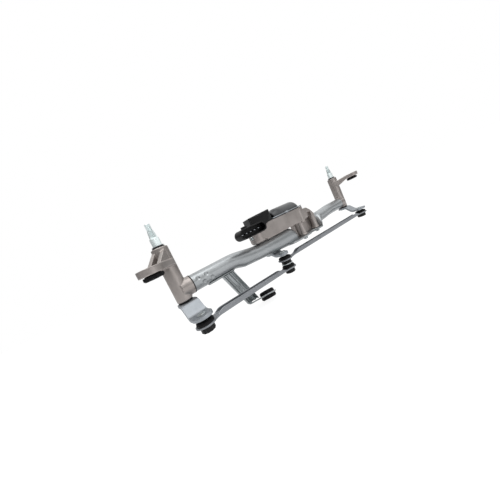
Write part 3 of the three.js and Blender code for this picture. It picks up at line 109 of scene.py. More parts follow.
def made(points, faces):
    mesh = bpy.data.meshes.new("work")
    mesh.from_pydata([tuple(float(v) for v in p) for p in points], [], faces)
    shape = bmesh.new()
    shape.from_mesh(mesh)
    bmesh.ops.remove_doubles(shape, verts=shape.verts, dist=SAME_POINT)
    bmesh.ops.dissolve_degenerate(shape, edges=shape.edges, dist=NO_LENGTH)
    bmesh.ops.recalc_face_normals(shape, faces=shape.faces)
    shape.to_mesh(mesh)
    shape.free()
    obj = bpy.data.objects.new("work", mesh)
    bpy.context.scene.collection.objects.link(obj)
    return obj


def eased(points, reach, steps=4, keep_axis=False):
    """Rounds the corners of an outline, by at most reach along each side."""
    out = []
    count = len(points)
    for i, point in enumerate(points):
        p = np.array(point, float)
        if keep_axis and p[0] < TINY:
            out.append(tuple(p))
            continue
        a = np.array(points[i - 1], float) - p
        b = np.array(points[(i + 1) % count], float) - p
        la, lb = np.linalg.norm(a), np.linalg.norm(b)
        if min(la, lb) < TINY or abs(a[0] * b[1] - a[1] * b[0]) < TINY * la * lb:
            out.append(tuple(p))
            continue
        r = min(reach, LONGEST_EASE * la, LONGEST_EASE * lb)
        start, end = p + a / la * r, p + b / lb * r
        for k in range(steps + 1):
            t = k / steps
            out.append(tuple((1 - t) ** 2 * start + 2 * t * (1 - t) * p + t * t * end))
    return out


def lathe(profile, sides=64, ease=0.0, warp=None):
    """Turns [radius, height] pairs about Z. warp(radius, height, angle) may change a radius."""
    if ease:
        profile = eased(profile, ease, keep_axis=True)
    count = len(profile)
    points, faces = [], []
    for k in range(sides):
        angle = TURN * k / sides
        for r, z in profile:
            reach = warp(r, z, angle) if warp and r > 0 else r
            points.append((reach * math.cos(angle), reach * math.sin(angle), z))
    for k in range(sides):
        m = (k + 1) % sides
        for i in range(count):
            j = (i + 1) % count
            if profile[i][0] < TINY and profile[j][0] < TINY:
                continue
            faces.append((k * count + i, m * count + i, m * count + j, k * count + j))
    return made(points, faces)


def disc(radius, low, high, sides=64):
    return lathe([(0, low), (radius, low), (radius, high), (0, high)], sides)


def ring(outer, inner, low, high, ease=0.0, sides=64):
    return lathe([(inner, low), (outer, low), (outer, high), (inner, high)], sides, ease)


def prism(outline, low, high):
    n = len(outline)
    points = [(x, y, low) for x, y in outline] + [(x, y, high) for x, y in outline]
    faces = [tuple(reversed(range(n))), tuple(range(n, 2 * n))]
    faces += [(i, (i + 1) % n, n + (i + 1) % n, n + i) for i in range(n)]
    return made(points, faces)


def block(x0, x1, y0, y1, z0, z1):
    return prism([(x0, y0), (x1, y0), (x1, y1), (x0, y1)], z0, z1)


def side_prism(outline, half):
    """A side view drawn in X and Z, given its width along Y."""
    obj = prism([(x, z) for x, z in outline], -half, half)
    obj.data.transform(Matrix.Rotation(math.pi / 2, 4, "X"))
    return obj


def capsule(a, ra, b, rb, steps=24):
    """The outline round two circles, each given by its centre and radius."""
    a, b = np.array(a, float), np.array(b, float)
    d = b - a
    span = np.linalg.norm(d)
    heading = math.atan2(d[1], d[0])
    lean = math.acos((ra - rb) / span)
    out = []
    for i in range(steps + 1):
        angle = heading + lean + (TURN - 2 * lean) * i / steps
        out.append((a[0] + ra * math.cos(angle), a[1] + ra * math.sin(angle)))
    for i in range(steps + 1):
        angle = heading - lean + 2 * lean * i / steps
        out.append((b[0] + rb * math.cos(angle), b[1] + rb * math.sin(angle)))
    return out


def stadium(width, height):
    radius, reach = height / 2, (width - height) / 2
    return capsule((-reach, 0), radius, (reach, 0), radius, 20)


def shift(obj, x=0.0, y=0.0, z=0.0):
    obj.data.transform(Matrix.Translation((x, y, z)))
    return obj


def spin(obj, angle, axis="Z"):
    obj.data.transform(Matrix.Rotation(angle, 4, axis))
    return obj


def along_x(obj):
    return spin(obj, math.pi / 2, "Y")


def settle(obj):
    """Keeps the result of the object's modifiers as its mesh."""
    bpy.context.view_layer.update()
    graph = bpy.context.evaluated_depsgraph_get()
    mesh = bpy.data.meshes.new_from_object(obj.evaluated_get(graph))
    obj.modifiers.clear()
    obj.data = mesh
    return obj


def combine(base, operation, tools):
    for tool in tools:
        step = base.modifiers.new("step", "BOOLEAN")
        step.operation = operation
        step.solver = "MANIFOLD"
        step.object = tool
    settle(base)
    for tool in tools:
        bpy.data.objects.remove(tool)
    return base


def join(base, *tools):
    return combine(base, "UNION", tools)


def cut(base, *tools):
    return combine(base, "DIFFERENCE", tools)


def common(base, *tools):
    return combine(base, "INTERSECT", tools)


def soften(obj, voxel, passes, keep):
    """Gives a solid the small fillets of a casting or a pressing."""
    grid = obj.modifiers.new("grid", "REMESH")
    grid.mode = "VOXEL"
    grid.voxel_size = voxel
    ease = obj.modifiers.new("ease", "SMOOTH")
    ease.factor = 0.5
    ease.iterations = passes
    fewer = obj.modifiers.new("fewer", "DECIMATE")
    fewer.ratio = keep
    return settle(obj)


def bevelled(obj, width, angle=32):
    edge = obj.modifiers.new("edge", "BEVEL")
    edge.width = width
    edge.segments = 2
    edge.limit_method = "ANGLE"
    edge.angle_limit = math.radians(angle)
    return settle(obj)


def smooth_share(t):
    t = min(max(t, 0.0), 1.0)
    return t * t * (3 - 2 * t)


def mix(a, b, t):
    return a + (b - a) * smooth_share(t)


def span(a, b, n):
    """Steps from a towards b, without b itself."""
    return [a + (b - a) * i / n for i in range(n)]


# Finishes

# Sockets of the mix node when it mixes colours
MIX_A, MIX_B, MIX_OUT = 6, 7, 2


def srgb(r, g, b):
    def line(v):
        v /= 255
        return v / 12.92 if v <= 0.04045 else ((v + 0.055) / 1.055) ** 2.4
    return (line(r), line(g), line(b), 1.0)


def feed(node, values):
    for name, value in values.items():
        node.inputs[name].default_value = value


def surface(name, dark, light, metallic, roughness, broad=45, fine=1400, depth=0.00004,
            stretch=(1, 1, 1), spangle=0.0, edge=0.0, coat=0.0, shine=0.5):
    """A slow change of tint, a fine grain that also lifts the surface, and lighter worn edges."""
    mat = bpy.data.materials.new(name)
    mat.use_nodes = True
    nodes, links = mat.node_tree.nodes, mat.node_tree.links
    shader = nodes["Principled BSDF"]
    feed(shader, {"Metallic": metallic, "Specular IOR Level": shine, "Coat Weight": coat,
                  "Coat Roughness": 0.25})
    place = nodes.new("ShaderNodeTexCoord")
    scale = nodes.new("ShaderNodeMapping")
    feed(scale, {"Scale": stretch})
    links.new(place.outputs["Object"], scale.inputs["Vector"])

    def noise(size, detail, vector):
        node = nodes.new("ShaderNodeTexNoise")
        feed(node, {"Scale": size, "Detail": detail})
        links.new(vector, node.inputs["Vector"])
        return node.outputs["Fac"]

    def blend(a, b, share):
        node = nodes.new("ShaderNodeMix")
        node.data_type = "FLOAT"
        feed(node, {"Factor": share})
        links.new(a, node.inputs["A"])
        links.new(b, node.inputs["B"])
        return node.outputs["Result"]

    slow = noise(broad, 5.0, place.outputs["Object"])
    grain = noise(fine, 3.0, scale.outputs["Vector"])
    amount = blend(slow, grain, 0.45)
    if spangle:
        cells = nodes.new("ShaderNodeTexVoronoi")
        feed(cells, {"Scale": 260})
        links.new(scale.outputs["Vector"], cells.inputs["Vector"])
        grey = nodes.new("ShaderNodeRGBToBW")
        links.new(cells.outputs["Color"], grey.inputs["Color"])
        amount = blend(amount, grey.outputs["Val"], spangle)
    ramp = nodes.new("ShaderNodeValToRGB")
    for element, position, tone in zip(ramp.color_ramp.elements, (0.34, 0.66), (dark, light)):
        element.position = position
        element.color = tone
    links.new(amount, ramp.inputs["Fac"])
    colour = ramp.outputs["Color"]
    if edge:
        shape = nodes.new("ShaderNodeNewGeometry")
        worn = nodes.new("ShaderNodeMapRange")
        feed(worn, {"From Min": 0.52, "From Max": 0.62, "To Max": edge})
        links.new(shape.outputs["Pointiness"], worn.inputs["Value"])
        tint = nodes.new("ShaderNodeMix")
        tint.data_type = "RGBA"
        worn_tone = tuple(min(1.0, v * 1.5 + 0.05) for v in light[:3])
        tint.inputs[MIX_B].default_value = worn_tone + (1.0,)
        links.new(worn.outputs["Result"], tint.inputs["Factor"])
        links.new(colour, tint.inputs[MIX_A])
        colour = tint.outputs[MIX_OUT]
    links.new(colour, shader.inputs["Base Color"])
    rough = nodes.new("ShaderNodeMapRange")
    feed(rough, {"From Min": 0.3, "From Max": 0.7, "To Min": roughness * 0.8,
                 "To Max": min(1.0, roughness * 1.2)})
    links.new(amount, rough.inputs["Value"])
    links.new(rough.outputs["Result"], shader.inputs["Roughness"])
    bump = nodes.new("ShaderNodeBump")
    feed(bump, {"Strength": 0.6, "Distance": depth})
    links.new(grain, bump.inputs["Height"])
    links.new(bump.outputs["Normal"], shader.inputs["Normal"])
    return mat


def board_finish(mat):
    """Copper tracks under green lacquer, over the plain board finish."""
    nodes, links = mat.node_tree.nodes, mat.node_tree.links
    shader = nodes["Principled BSDF"]
    old = shader.inputs["Base Color"].links[0].from_socket
    place = nodes.new("ShaderNodeTexCoord")
    tracks = nodes.new("ShaderNodeTexBrick")
    feed(tracks, {"Scale": 180, "Mortar Size": 0.03, "Mortar": srgb(86, 130, 84)})
    links.new(place.outputs["Object"], tracks.inputs["Vector"])
    links.new(old, tracks.inputs["Color1"])
    links.new(old, tracks.inputs["Color2"])
    links.new(tracks.outputs["Color"], shader.inputs["Base Color"])


FINISH = {
    "casting": surface("cast_aluminium", srgb(158, 151, 147), srgb(186, 179, 175), 0.75, 0.36,
                       broad=30, fine=1700, depth=0.00009, edge=0.5),
    "tube": surface("galvanised_tube", srgb(164, 168, 170), srgb(184, 188, 190), 0.8, 0.33,
                    broad=18, fine=900, depth=0.00001, stretch=(0.6, 1, 1), spangle=0.12, edge=0.2),
    "pressing": surface("galvanised_sheet", srgb(150, 155, 157), srgb(186, 191, 192), 0.85, 0.34,
                        broad=40, fine=1100, depth=0.00003, spangle=0.3, edge=0.4),
    "lever": surface("bright_zinc", srgb(148, 153, 158), srgb(176, 181, 186), 0.8, 0.42,
                     broad=50, fine=1300, depth=0.00002, edge=0.3),
    "spindle": surface("turned_zinc", srgb(228, 240, 240), srgb(246, 254, 254), 0.7, 0.3,
                       broad=60, fine=2200, depth=0.00001, stretch=(0.2, 0.2, 1)),
    "screw": surface("zinc_screw", srgb(172, 178, 180), srgb(208, 214, 214), 0.85, 0.28,
                     broad=120, fine=2400, depth=0.00001),
    "rod": surface("rolled_steel", srgb(136, 139, 143), srgb(160, 163, 167), 0.8, 0.38,
                   broad=20, fine=800, depth=0.00001, stretch=(0.4, 1, 1), edge=0.5),
    "steel": surface("ground_steel", srgb(128, 131, 134), srgb(176, 179, 181), 0.85, 0.34,
                     broad=80, fine=2000, depth=0.00001, stretch=(1, 1, 0.1)),
    "bronze": surface("sintered_bronze", srgb(138, 98, 52), srgb(186, 144, 86), 0.8, 0.45,
                      broad=120, fine=3000, depth=0.00003),
    "rubber": surface("black_rubber", srgb(8, 8, 9), srgb(20, 20, 22), 0.0, 0.6,
                      broad=90, fine=2600, depth=0.00005, shine=0.22),
    "plastic": surface("black_plastic", srgb(6, 6, 7), srgb(16, 16, 17), 0.0, 0.42,
                       broad=60, fine=3200, depth=0.00003, shine=0.3),
    "cover": surface("grained_cover", srgb(22, 23, 24), srgb(40, 41, 42), 0.0, 0.46,
                     broad=50, fine=2600, depth=0.00005, shine=0.35),
    "paint": surface("satin_paint", srgb(54, 56, 58), srgb(78, 80, 82), 0.35, 0.36,
                     broad=45, fine=1800, depth=0.00003, coat=0.15),
    "nylon": surface("natural_nylon", srgb(206, 198, 176), srgb(228, 222, 204), 0.0, 0.45,
                     broad=90, fine=2600, depth=0.00002),
    "ferrite": surface("pressed_ferrite", srgb(46, 46, 48), srgb(70, 70, 73), 0.1, 0.7,
                       broad=150, fine=2600, depth=0.00005),
    "board": surface("board_laminate", srgb(28, 72, 42), srgb(52, 106, 66), 0.0, 0.35,
                     broad=120, fine=3000, depth=0.00001),
}
board_finish(FINISH["board"])

SLOT_FINISH = {
    "casting": "casting", "zinc": "screw", "bright": "lever", "steel": "steel", "bronze": "bronze",
    "rubber": "rubber", "black_plastic": "plastic", "paint": "paint", "nylon": "nylon",
    "ferrite": "ferrite", "board": "board",
}


def dress(obj, node, finish, label=None, smooth=38):
    """Puts a drawn piece in place of its CAD node, or beside it where it has a label of its own."""
    obj.data.transform(Matrix.Scale(MM, 4) @ Matrix.Translation((0, 0, -RISE)))
    obj.name = label or f"{node}_detail"
    obj.data.name = obj.name
    obj.data.materials.clear()
    obj.data.materials.append(FINISH[finish])
    obj.data.shade_smooth()
    obj.data.set_sharp_from_angle(angle=math.radians(smooth))
    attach(obj, frame["nodes"][node]["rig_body"])
    if label is None:
        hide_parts(node)
    return obj


def dress_frame_nodes():
    for row in frame["record"]["subparts"]:
        mesh = frame["nodes"][row["node"]].data
        mesh.materials.clear()
        mesh.materials.append(FINISH[SLOT_FINISH[row["material_slot"]]])


# Pivots

PIVOT_X = {"left": 0.0, "right": 580.0}
TUBE_HEIGHT = {"left": 19.5, "right": 17.0}
TUBE_RADIUS, TUBE_WALL = 16, 2
EAR = {
    "left": {"pad": 64.6, "root": 64.6, "root_top": 75.1, "turn": math.radians(-126.3)},
    "right": {"pad": 78.5, "root": 70.0, "root_top": 86.5, "turn": math.radians(-53.7)},
}
EAR_REACH, EAR_THICK = 55.8, 10.5
BARREL, BARREL_TOP, BARREL_EDGE = 14.0, 100, 1.2
SLEEVE, SLEEVE_BORE, GROMMET_BORE = 6.0, 4.4, 6.3


def ear_arm(side):
    """The arm from the barrel to the body mount; the left one has two webs on top."""
    ear = EAR[side]
    pad, root, root_top = ear["pad"], ear["root"], ear["root_top"]
    top = pad + EAR_THICK
    outline = eased([
        (0, root), (14, root), (36, pad), (80, pad), (80, top), (36, top), (14, root_top), (0, root_top),
    ], 5, 6)
    arm = side_prism(outline, 24.5)
    arm = common(arm, prism(capsule((0, 0), 14.4, (EAR_REACH, 0), 19.4, 40), 0, BARREL_TOP))
    if side == "left":
        seat = root_top - 3
        webs = []
        for across in (-8, 8):
            web = side_prism([(6, seat), (43, seat), (43, seat + 3), (6, 97)], 3.25)
            webs.append(shift(web, 0, across))
        arm = join(arm, *webs)
    arm = cut(
        arm,
        shift(disc(10.3, pad - 5, top + 5), EAR_REACH),
        shift(disc(13.3, top - 2.6, top + 5), EAR_REACH),
    )
    return spin(arm, ear["turn"])


def pivot_housing(side):
    turn = EAR[side]["turn"]
    arm = ear_arm(side)
    barrel = lathe([
        (0, 0), (BARREL - BARREL_EDGE, 0), (BARREL, BARREL_EDGE), (BARREL, BARREL_TOP - BARREL_EDGE),
        (BARREL - BARREL_EDGE, BARREL_TOP), (0, BARREL_TOP),
    ], 96)
    seam = spin(block(-BARREL - 0.4, BARREL + 0.4, -0.5, 0.5, 2, 96), turn + math.pi / 2)
    spigot = along_x(lathe([(0, 0), (16.7, 0), (16.7, 21), (13.7, 21), (13.7, 53), (0, 53)], 80))
    spigot = cut(spigot, along_x(disc(8, 21, 60)))
    if side == "right":
        spin(spigot, math.pi)
    shift(spigot, 0, 0, TUBE_HEIGHT[side])
    body = join(barrel, arm, spigot, seam)
    tools = [disc(10.1, -5, 105, sides=80)]
    if side == "left":
        drain = shift(along_x(disc(2.2, 0, 15.5, sides=24)), 0, 0, EAR[side]["root_top"] + 9)
        tools.append(spin(drain, turn))
    body = soften(cut(body, *tools), 0.72, *ROUNDER)
    dress(shift(body, PIVOT_X[side]), f"{side}_pivot_housing", "casting")


def spindle(side):
    """A shaft with a splined cone and a thread at its top."""
    cone_low, cone_high, splines, spline_depth = 118, 131, 36, 0.9
    thread_low, pitch, thread_rows = 132, 1.5, 76

    def ridged(radius, height, angle):
        if cone_low + 0.01 < height < cone_high - 0.01 and radius > 4.6:
            return radius - spline_depth * abs(((angle * splines / TURN) % 1) - 0.5)
        if height > thread_low and radius > 4:
            phase = ((height - thread_low) / pitch - angle / TURN) % 1
            return radius - pitch * abs(phase - 0.5)
        return radius

    profile = [(0, -10), (9.6, -10), (10, -9.6), (10, -8), (9.8, -7.8), (7.8, -7.8)]
    profile += [(7.8, 117.2), (7.4, cone_low), (6.5, cone_low)]
    profile += [(6.5 - 1.3 * t / 10, 118.1 + 12.8 * t / 10) for t in range(11)]
    profile += [(4.4, 131.05), (4.4, thread_low)]
    profile += [(4.8, 132.02 + 11.3 * t / thread_rows) for t in range(thread_rows + 1)]
    profile += [(4.2, RISE), (1.5, RISE), (0, 142.6)]
    body = lathe(profile, 144, warp=ridged)
    dress(shift(body, PIVOT_X[side]), f"{side}_spindle", "spindle", smooth=50)


def pivot_trim(side):
    """The seal and clip on top of a barrel, and the washer under it."""
    x = PIVOT_X[side]
    seal = lathe([
        (7.95, 100.3), (10.6, 100.3), (10.6, 101.7), (9.5, 102.3), (8.7, 101.9), (7.95, 102.3),
    ], 72, 0.25)
    dress(shift(seal, x), f"{side}_shaft_seal", "rubber")
    opening, steps = math.radians(26), 48
    arc = []
    for radius, first, way in ((10.2, opening, 1), (8.1, TURN - opening, -1)):
        for i in range(steps + 1):
            angle = first + way * (TURN - 2 * opening) * i / steps
            arc.append((radius * math.cos(angle), radius * math.sin(angle)))
    clip = bevelled(prism(arc, 102.6, 103.6), 0.15, 50)
    dress(shift(clip, x), f"{side}_retaining_clip", "steel")
    washer = ring(12.8, 8.1, -2.2, -0.3, 0.35)
    dress(shift(washer, x), f"{side}_thrust_washer", "rubber")


def notched(count, depth, low, high, reach):
    """Shallow notches round a rim, between two heights."""
    def warp(radius, height, angle):
        if low <= height <= high and radius > reach:
            wave = math.cos(angle * count)
            return radius - depth * smooth_share((wave - 0.1) / 0.5)
        return radius
    return warp


def ear_grommet(side):
    ear = EAR[side]
    profile = [
        (GROMMET_BORE, -7.7), (13.4, -7.7), (13.4, -6.6), (15, -6.3), (15, -1.9), (14.3, -1.2),
        (12, -1.2), (12, -0.3), (10, -0.3), (10, 8.2), (13, 8.2), (13, 9.9), (12.4, 10.5),
        (GROMMET_BORE, 10.5),
    ]
    body = lathe(eased(profile, 0.5, 3), 120, warp=notched(11, 1.5, -7.8, -1.1, 12.3))
    bore = ring(SLEEVE, SLEEVE_BORE, -8.1, 10.9, 0.35, 48)
    for obj, kind, finish in ((body, "grommet", "rubber"), (bore, "sleeve", "screw")):
        shift(obj, EAR_REACH, 0, ear["pad"])
        spin(obj, ear["turn"])
        dress(shift(obj, PIVOT_X[side]), f"{side}_mount_{kind}", finish)


# Levers and ball studs

# From the axis of a lever, or of the crank, to its ball
LEVER = Vector((2.0, -45.0))
LEVER_REACH = LEVER.length
LEVER_TURN = math.atan2(LEVER.y, LEVER.x)
BALL, STEM, CUP = 8, 4.5, 8.3
NECK = math.asin(STEM / BALL)
# How far a ball's centre stands above the rod's middle height
BALL_LIFT = 1
ROD_HEIGHT = {"left_outer": -41.0, "left_inner": -57.0, "right_inner": -35.5, "right_outer": -37.5}


def ball_arc(height, stop, radius=BALL, steps=20):
    """A ball's outline from its neck, round to the angle where it stops."""
    out = []
    for i in range(steps + 1):
        angle = NECK + (stop - NECK) * i / steps
        out.append((radius * math.sin(angle), height + radius * math.cos(angle)))
    if stop == math.pi:
        out[-1] = (0.0, out[-1][1])
    return out


def lever(side):
    sheet = 5
    ball = ROD_HEIGHT[f"{side}_outer"] + BALL_LIFT
    low_top = ball + 15.4
    outline = eased([
        (-22, -7.5), (11, -7.5), (28, low_top - sheet), (68, low_top - sheet), (68, low_top),
        (30.5, low_top), (13.5, -2.5), (-22, -2.5),
    ], 6, 8)
    body = side_prism(outline, 21)
    body = common(body, prism(capsule((0, 0), 16, (LEVER_REACH, 0), 17.5, 40), ball, 5))
    body = cut(body, disc(8.1, ball, 5), shift(disc(4.8, ball, 5, sides=40), LEVER_REACH))
    body = soften(body, 0.5, *CRISPER)
    spin(body, LEVER_TURN)
    dress(shift(body, PIVOT_X[side]), f"{side}_lever", "lever")
    head = low_top + GAP
    collar = low_top - sheet - GAP
    stud = lathe([
        (0, head + 2), (5.2, head + 2), (7.5, head + 0.7), (7.5, head), (STEM, head), (STEM, collar),
        (7.5, collar), (7.5, collar - 1.8), (STEM, collar - 1.8), *ball_arc(ball, math.pi),
    ], 56)
    spin(shift(stud, LEVER_REACH), LEVER_TURN)
    dress(shift(stud, PIVOT_X[side]), f"{side}_lever_ball_stud", "screw")


# Frame tube

# The pressed plate, and the crest and underside of the squeezed tube before it
PLATE_TOP, PLATE_LOW, PLATE_HALF = -10, -16, 24
CREST, UNDERSIDE, UNDERSIDE_X, UNDERSIDE_FALL = 26, -11.8, 240, 0.08
# Where the squeeze starts, and the lengths over which the underside and the crest reach their heights
SQUEEZE_START, LOW_EASE, CREST_EASE = 107, 33, 83
# The closed nose of the squeezed tube, and the plate's rounded lip under it
NOSE_START, NOSE_LENGTH, NOSE_HALF, NOSE_STEPS = 292, 28, 12, 22
NOSE_LAST = math.radians(88)
LIP_START, LIP_END, LIP_HALF = 283, 312, 5
# The release from plate to tube, and the slow bend up to the right collar
PLATE_END, RELEASE_END, RELEASE_AXIS, LEVEL_START = 407, 431, 13, 500
LEFT_END, RIGHT_END = 21.3, 558.7
# The motor's feet, with a hole in the plate under each
FEET = [(337.0, -11.0), (398.0, -8.0), (366.0, 12.0)]
# Punched dents: the stretch that holds them, then each one's place along the tube and angle round it
DENTED_START, DENTED_END = 26, 64
DENTS = [(32.0, 161.0), (49.0, 161.0), (40.5, 199.0), (57.5, 199.0)]
DENT_DEPTH, DENT_RADIUS, DENT_SLOPE = 1.7, 2.4, 1.4
RIM_HEIGHT, RIM_RADIUS, RIM_WIDTH = 0.25, 4.7, 0.7


def body_section(x):
    """Top, bottom and half width of the tube's left stretch."""
    axis, beyond = TUBE_HEIGHT["left"], x - SQUEEZE_START
    fallen = UNDERSIDE - UNDERSIDE_FALL * (x - UNDERSIDE_X)
    low = max(mix(axis - TUBE_RADIUS, fallen, beyond / LOW_EASE), PLATE_LOW)
    wide = mix(TUBE_RADIUS, NOSE_HALF, beyond / (NOSE_START - SQUEEZE_START))
    return mix(axis + TUBE_RADIUS, CREST, beyond / CREST_EASE), low, wide


def plate_section(x):
    """Top, bottom and half width of the pressed plate and the right stretch."""
    if x <= PLATE_END:
        left = 1 - min(max((x - LIP_START) / (LIP_END - LIP_START), 0), 1)
        return PLATE_TOP, PLATE_LOW, LIP_HALF + (PLATE_HALF - LIP_HALF) * math.sqrt(1 - left * left)
    if x <= RELEASE_END:
        t = (x - PLATE_END) / (RELEASE_END - PLATE_END)
        rise = RELEASE_AXIS + TUBE_RADIUS - PLATE_TOP
        top = PLATE_TOP + rise * math.sqrt(1 - (1 - t) ** 2)
        return top, mix(PLATE_LOW, RELEASE_AXIS - TUBE_RADIUS, t), mix(PLATE_HALF, TUBE_RADIUS, t)
    axis = mix(RELEASE_AXIS, TUBE_HEIGHT["right"], (x - RELEASE_END) / (LEVEL_START - RELEASE_END))
    return axis + TUBE_RADIUS, axis - TUBE_RADIUS, TUBE_RADIUS


def dented(x, angle):
    """How far the dents, and the low rims round them, move the tube's surface outwards."""
    push = 0.0
    for centre, place in DENTS:
        gap = math.hypot(x - centre, TUBE_RADIUS * (angle - math.radians(place)))
        push -= DENT_DEPTH * (1 - smooth_share((gap - DENT_RADIUS) / DENT_SLOPE))
        push += RIM_HEIGHT * math.exp(-(((gap - RIM_RADIUS) / RIM_WIDTH) ** 2))
    return push


def tube_ring(x, section, inset, sides=96):
    """One ring of the tube; it is squarer where the section is flat, and inset for the hollow."""
    top, low, wide = section
    axis, high = (top + low) / 2, (top - low) / 2
    power = 0.55 + 0.45 * min(high / wide, 1)
    out = []
    for i in range(sides):
        angle = TURN * i / sides
        c, s = math.cos(angle), math.sin(angle)
        across = math.copysign(abs(c) ** power, c)
        up = math.copysign(abs(s) ** power, s)
        push = dented(x, angle) if not inset and x < 70 else 0.0
        out.append((x, (wide - inset + push) * across, axis + (high - inset + push) * up))
    return out


def skin(rings):
    """A closed solid through rings that have as many points each."""
    count = len(rings[0])
    points = [p for row in rings for p in row]
    faces = [tuple(range(count))[::-1], tuple(range(len(points) - count, len(points)))]
    for r in range(len(rings) - 1):
        for i in range(count):
            j = (i + 1) % count
            faces.append((r * count + i, r * count + j, (r + 1) * count + j, (r + 1) * count + i))
    return made(points, faces)


def left_stretch(inset, start):
    """The tube from the left collar to its closed nose above the plate."""
    places = span(LEFT_END, DENTED_START, 3) + span(DENTED_START, DENTED_END, 46)
    places += span(DENTED_END, 108, 8) + span(108, NOSE_START, 60) + [NOSE_START]
    if inset:
        places = [x for x in places if x < DENTED_START or x > DENTED_END or x % 5 < 0.8]
    rings = [tube_ring(x, body_section(x), inset) for x in places]
    rings[0] = [(start, p[1], p[2]) for p in rings[0]]
    for k in range(1, NOSE_STEPS + 1):
        angle = NOSE_LAST * k / NOSE_STEPS
        top = PLATE_TOP + (CREST - PLATE_TOP) * math.cos(angle)
        wide = inset + (NOSE_HALF - inset) * math.sqrt(math.cos(angle))
        x = NOSE_START + (NOSE_LENGTH - inset) * math.sin(angle)
        rings.append(tube_ring(x, (top, PLATE_LOW, wide), inset))
    return skin(rings)


def right_stretch(inset, end):
    """The pressed plate, the release and the round tube up to the right collar."""
    start = LIP_START + inset
    places = [start + (LIP_END - start) * (k / 20) ** 1.6 for k in range(20)]
    places += span(LIP_END, PLATE_END, 26)
    places += [PLATE_END + (RELEASE_END - PLATE_END) * (k / 24) ** 2 for k in range(24)]
    places += span(RELEASE_END, LEVEL_START, 12) + span(LEVEL_START, RIGHT_END, 6) + [RIGHT_END]
    rings = [tube_ring(x, plate_section(x), inset) for x in places]
    rings[-1] = [(end, p[1], p[2]) for p in rings[-1]]
    return skin(rings)


def frame_tube():
    body = join(left_stretch(0, LEFT_END), right_stretch(0, RIGHT_END))
    hollow = join(left_stretch(TUBE_WALL, 20), right_stretch(TUBE_WALL, 560))
    holes = [shift(disc(2.7, -30, 0, sides=32), x, y) for x, y in FEET]
    notch = shift(disc(19, -30, -2, sides=96), 367, -31)
    dress(cut(body, hollow, *holes, notch), "frame_tube", "tube", smooth=60)
    # A thin black rubber ring, a little proud of the tube, where the tube ends on the left collar: painted
    # shadow standing in for the shade at the tube's end
    bead = along_x(lathe([(15.9, 20.4), (16.9, 20.4), (16.9, 22.2), (16.1, 22.2)], 72, 0.5))
    shift(bead, 0, 0, TUBE_HEIGHT["left"])
    dress(bead, "left_pivot_housing", "rubber", label="tube_end_painted_shadow_ring")


# Strut

# The pad of the third body mount
PAD = Vector((150.0, -15.0, -77.0))
PAD_NORMAL = Vector((0.12, 0.31, 0.94)).normalized()


def on_pad(obj):
    turn = Vector((0, 0, 1)).rotation_difference(PAD_NORMAL).to_matrix().to_4x4()
    obj.data.transform(Matrix.Translation(PAD) @ turn)
    return obj


def strut():
    """The bracket under the tube: a saddle, a ribbed channel and a tilted pad."""
    sheet, inner, spread = 2.5, 16.3, math.radians(44)
    axis, outer = TUBE_HEIGHT["left"], inner + sheet
    shell = along_x(ring(outer, inner, 50, 107, sides=96))
    shift(shell, 0, 0, axis)
    keep = math.sin(spread) * outer
    level = axis - math.cos(spread) * outer
    saddle = common(shell, block(50, 107, -keep, keep, level - 30, level))
    top, bottom, half = axis - inner - sheet, -78.0, 14.0
    front, back = 2.5, 10.5
    foot_x, head_x = 124, 96

    def panel(left_in, right_in, y0, y1):
        outline = [(foot_x - half + left_in, bottom), (foot_x + half - right_in, bottom),
                   (head_x + half - right_in, top + sheet), (head_x - half + left_in, top + sheet)]
        return shift(side_prism(outline, (y1 - y0) / 2), 0, (y0 + y1) / 2)

    parts = [panel(0, 0, back - sheet, back), panel(0, 2 * half - sheet, front, back),
             panel(2 * half - sheet, 0, front, back)]
    for side in (-1, 1):
        a = Vector((foot_x + side * 6.5, back - sheet, bottom))
        b = Vector((head_x + side * 6.5, back - sheet, top))
        bead = disc(2.6, 0, (b - a).length, sides=32)
        turn = Vector((0, 0, 1)).rotation_difference((b - a).normalized()).to_matrix().to_4x4()
        bead.data.transform(Matrix.Translation(a) @ turn)
        parts.append(bead)
    root = (foot_x - PAD.x, back - half - PAD.y)
    foot = on_pad(prism(capsule(root, half, (0, 0), 19, 36), -sheet / 2, sheet / 2))
    body = join(saddle, *parts, foot)
    body = cut(body, on_pad(disc(10.3, -5, 5)))
    dress(soften(body, 0.6, *CRISPER), "strut_bracket", "pressing")
    seat = sheet / 2 + GAP
    face = seat + 7.5
    half_profile = [(16.5, seat), (16.5, face - 1.8), (14.6, face - 1.4), (14.6, face), (GROMMET_BORE, face)]
    grommet = lathe(eased([
        *((x, -z) for x, z in reversed(half_profile)), (10, -seat), (10, seat), *half_profile,
    ], 0.5, 3), 120, warp=notched(14, 1.1, -face, face, 12))
    dress(on_pad(grommet), "strut_mount_grommet", "rubber")
    sleeve = ring(SLEEVE, SLEEVE_BORE, -face - 0.4, face + 0.4, 0.35, 48)
    dress(on_pad(sleeve), "strut_mount_sleeve", "screw")


# Geared motor

# The output shaft's place, and the height and depth of the motor's own axis
AXIS = (237.0, 33.0)
MOTOR_Y, MOTOR_Z = 6.0, 61.0
RIM_TOP = 62
COVER_LEFT, COVER_RIGHT, COVER_TOP, COVER_RISE = 184, 262, 85.5, 4
SCREW_SEAT = 82.3
COVER_SCREWS = [(193.0, -14.5), (234.0, -14.5)]


def lying(obj):
    return shift(along_x(obj), 0, MOTOR_Y, MOTOR_Z)


def lobe_place(obj):
    """Puts a piece drawn upright into the screwed lobe at the left of the casting."""
    shift(obj, 0, 0, 17)
    return shift(spin(along_x(obj), math.radians(-168)), 195, -6, 43)


def round_bottomed(outline, low, high, radius, steps=6):
    """A prism whose lower edge is rounded; outline(inset) gives the plan at each level."""
    layers = []
    for k in range(steps + 1):
        angle = math.pi / 2 * k / steps
        plan = outline(radius * (1 - math.sin(angle)))
        layers.append(prism(plan, low + radius * (1 - math.cos(angle)), high))
    return join(*layers)


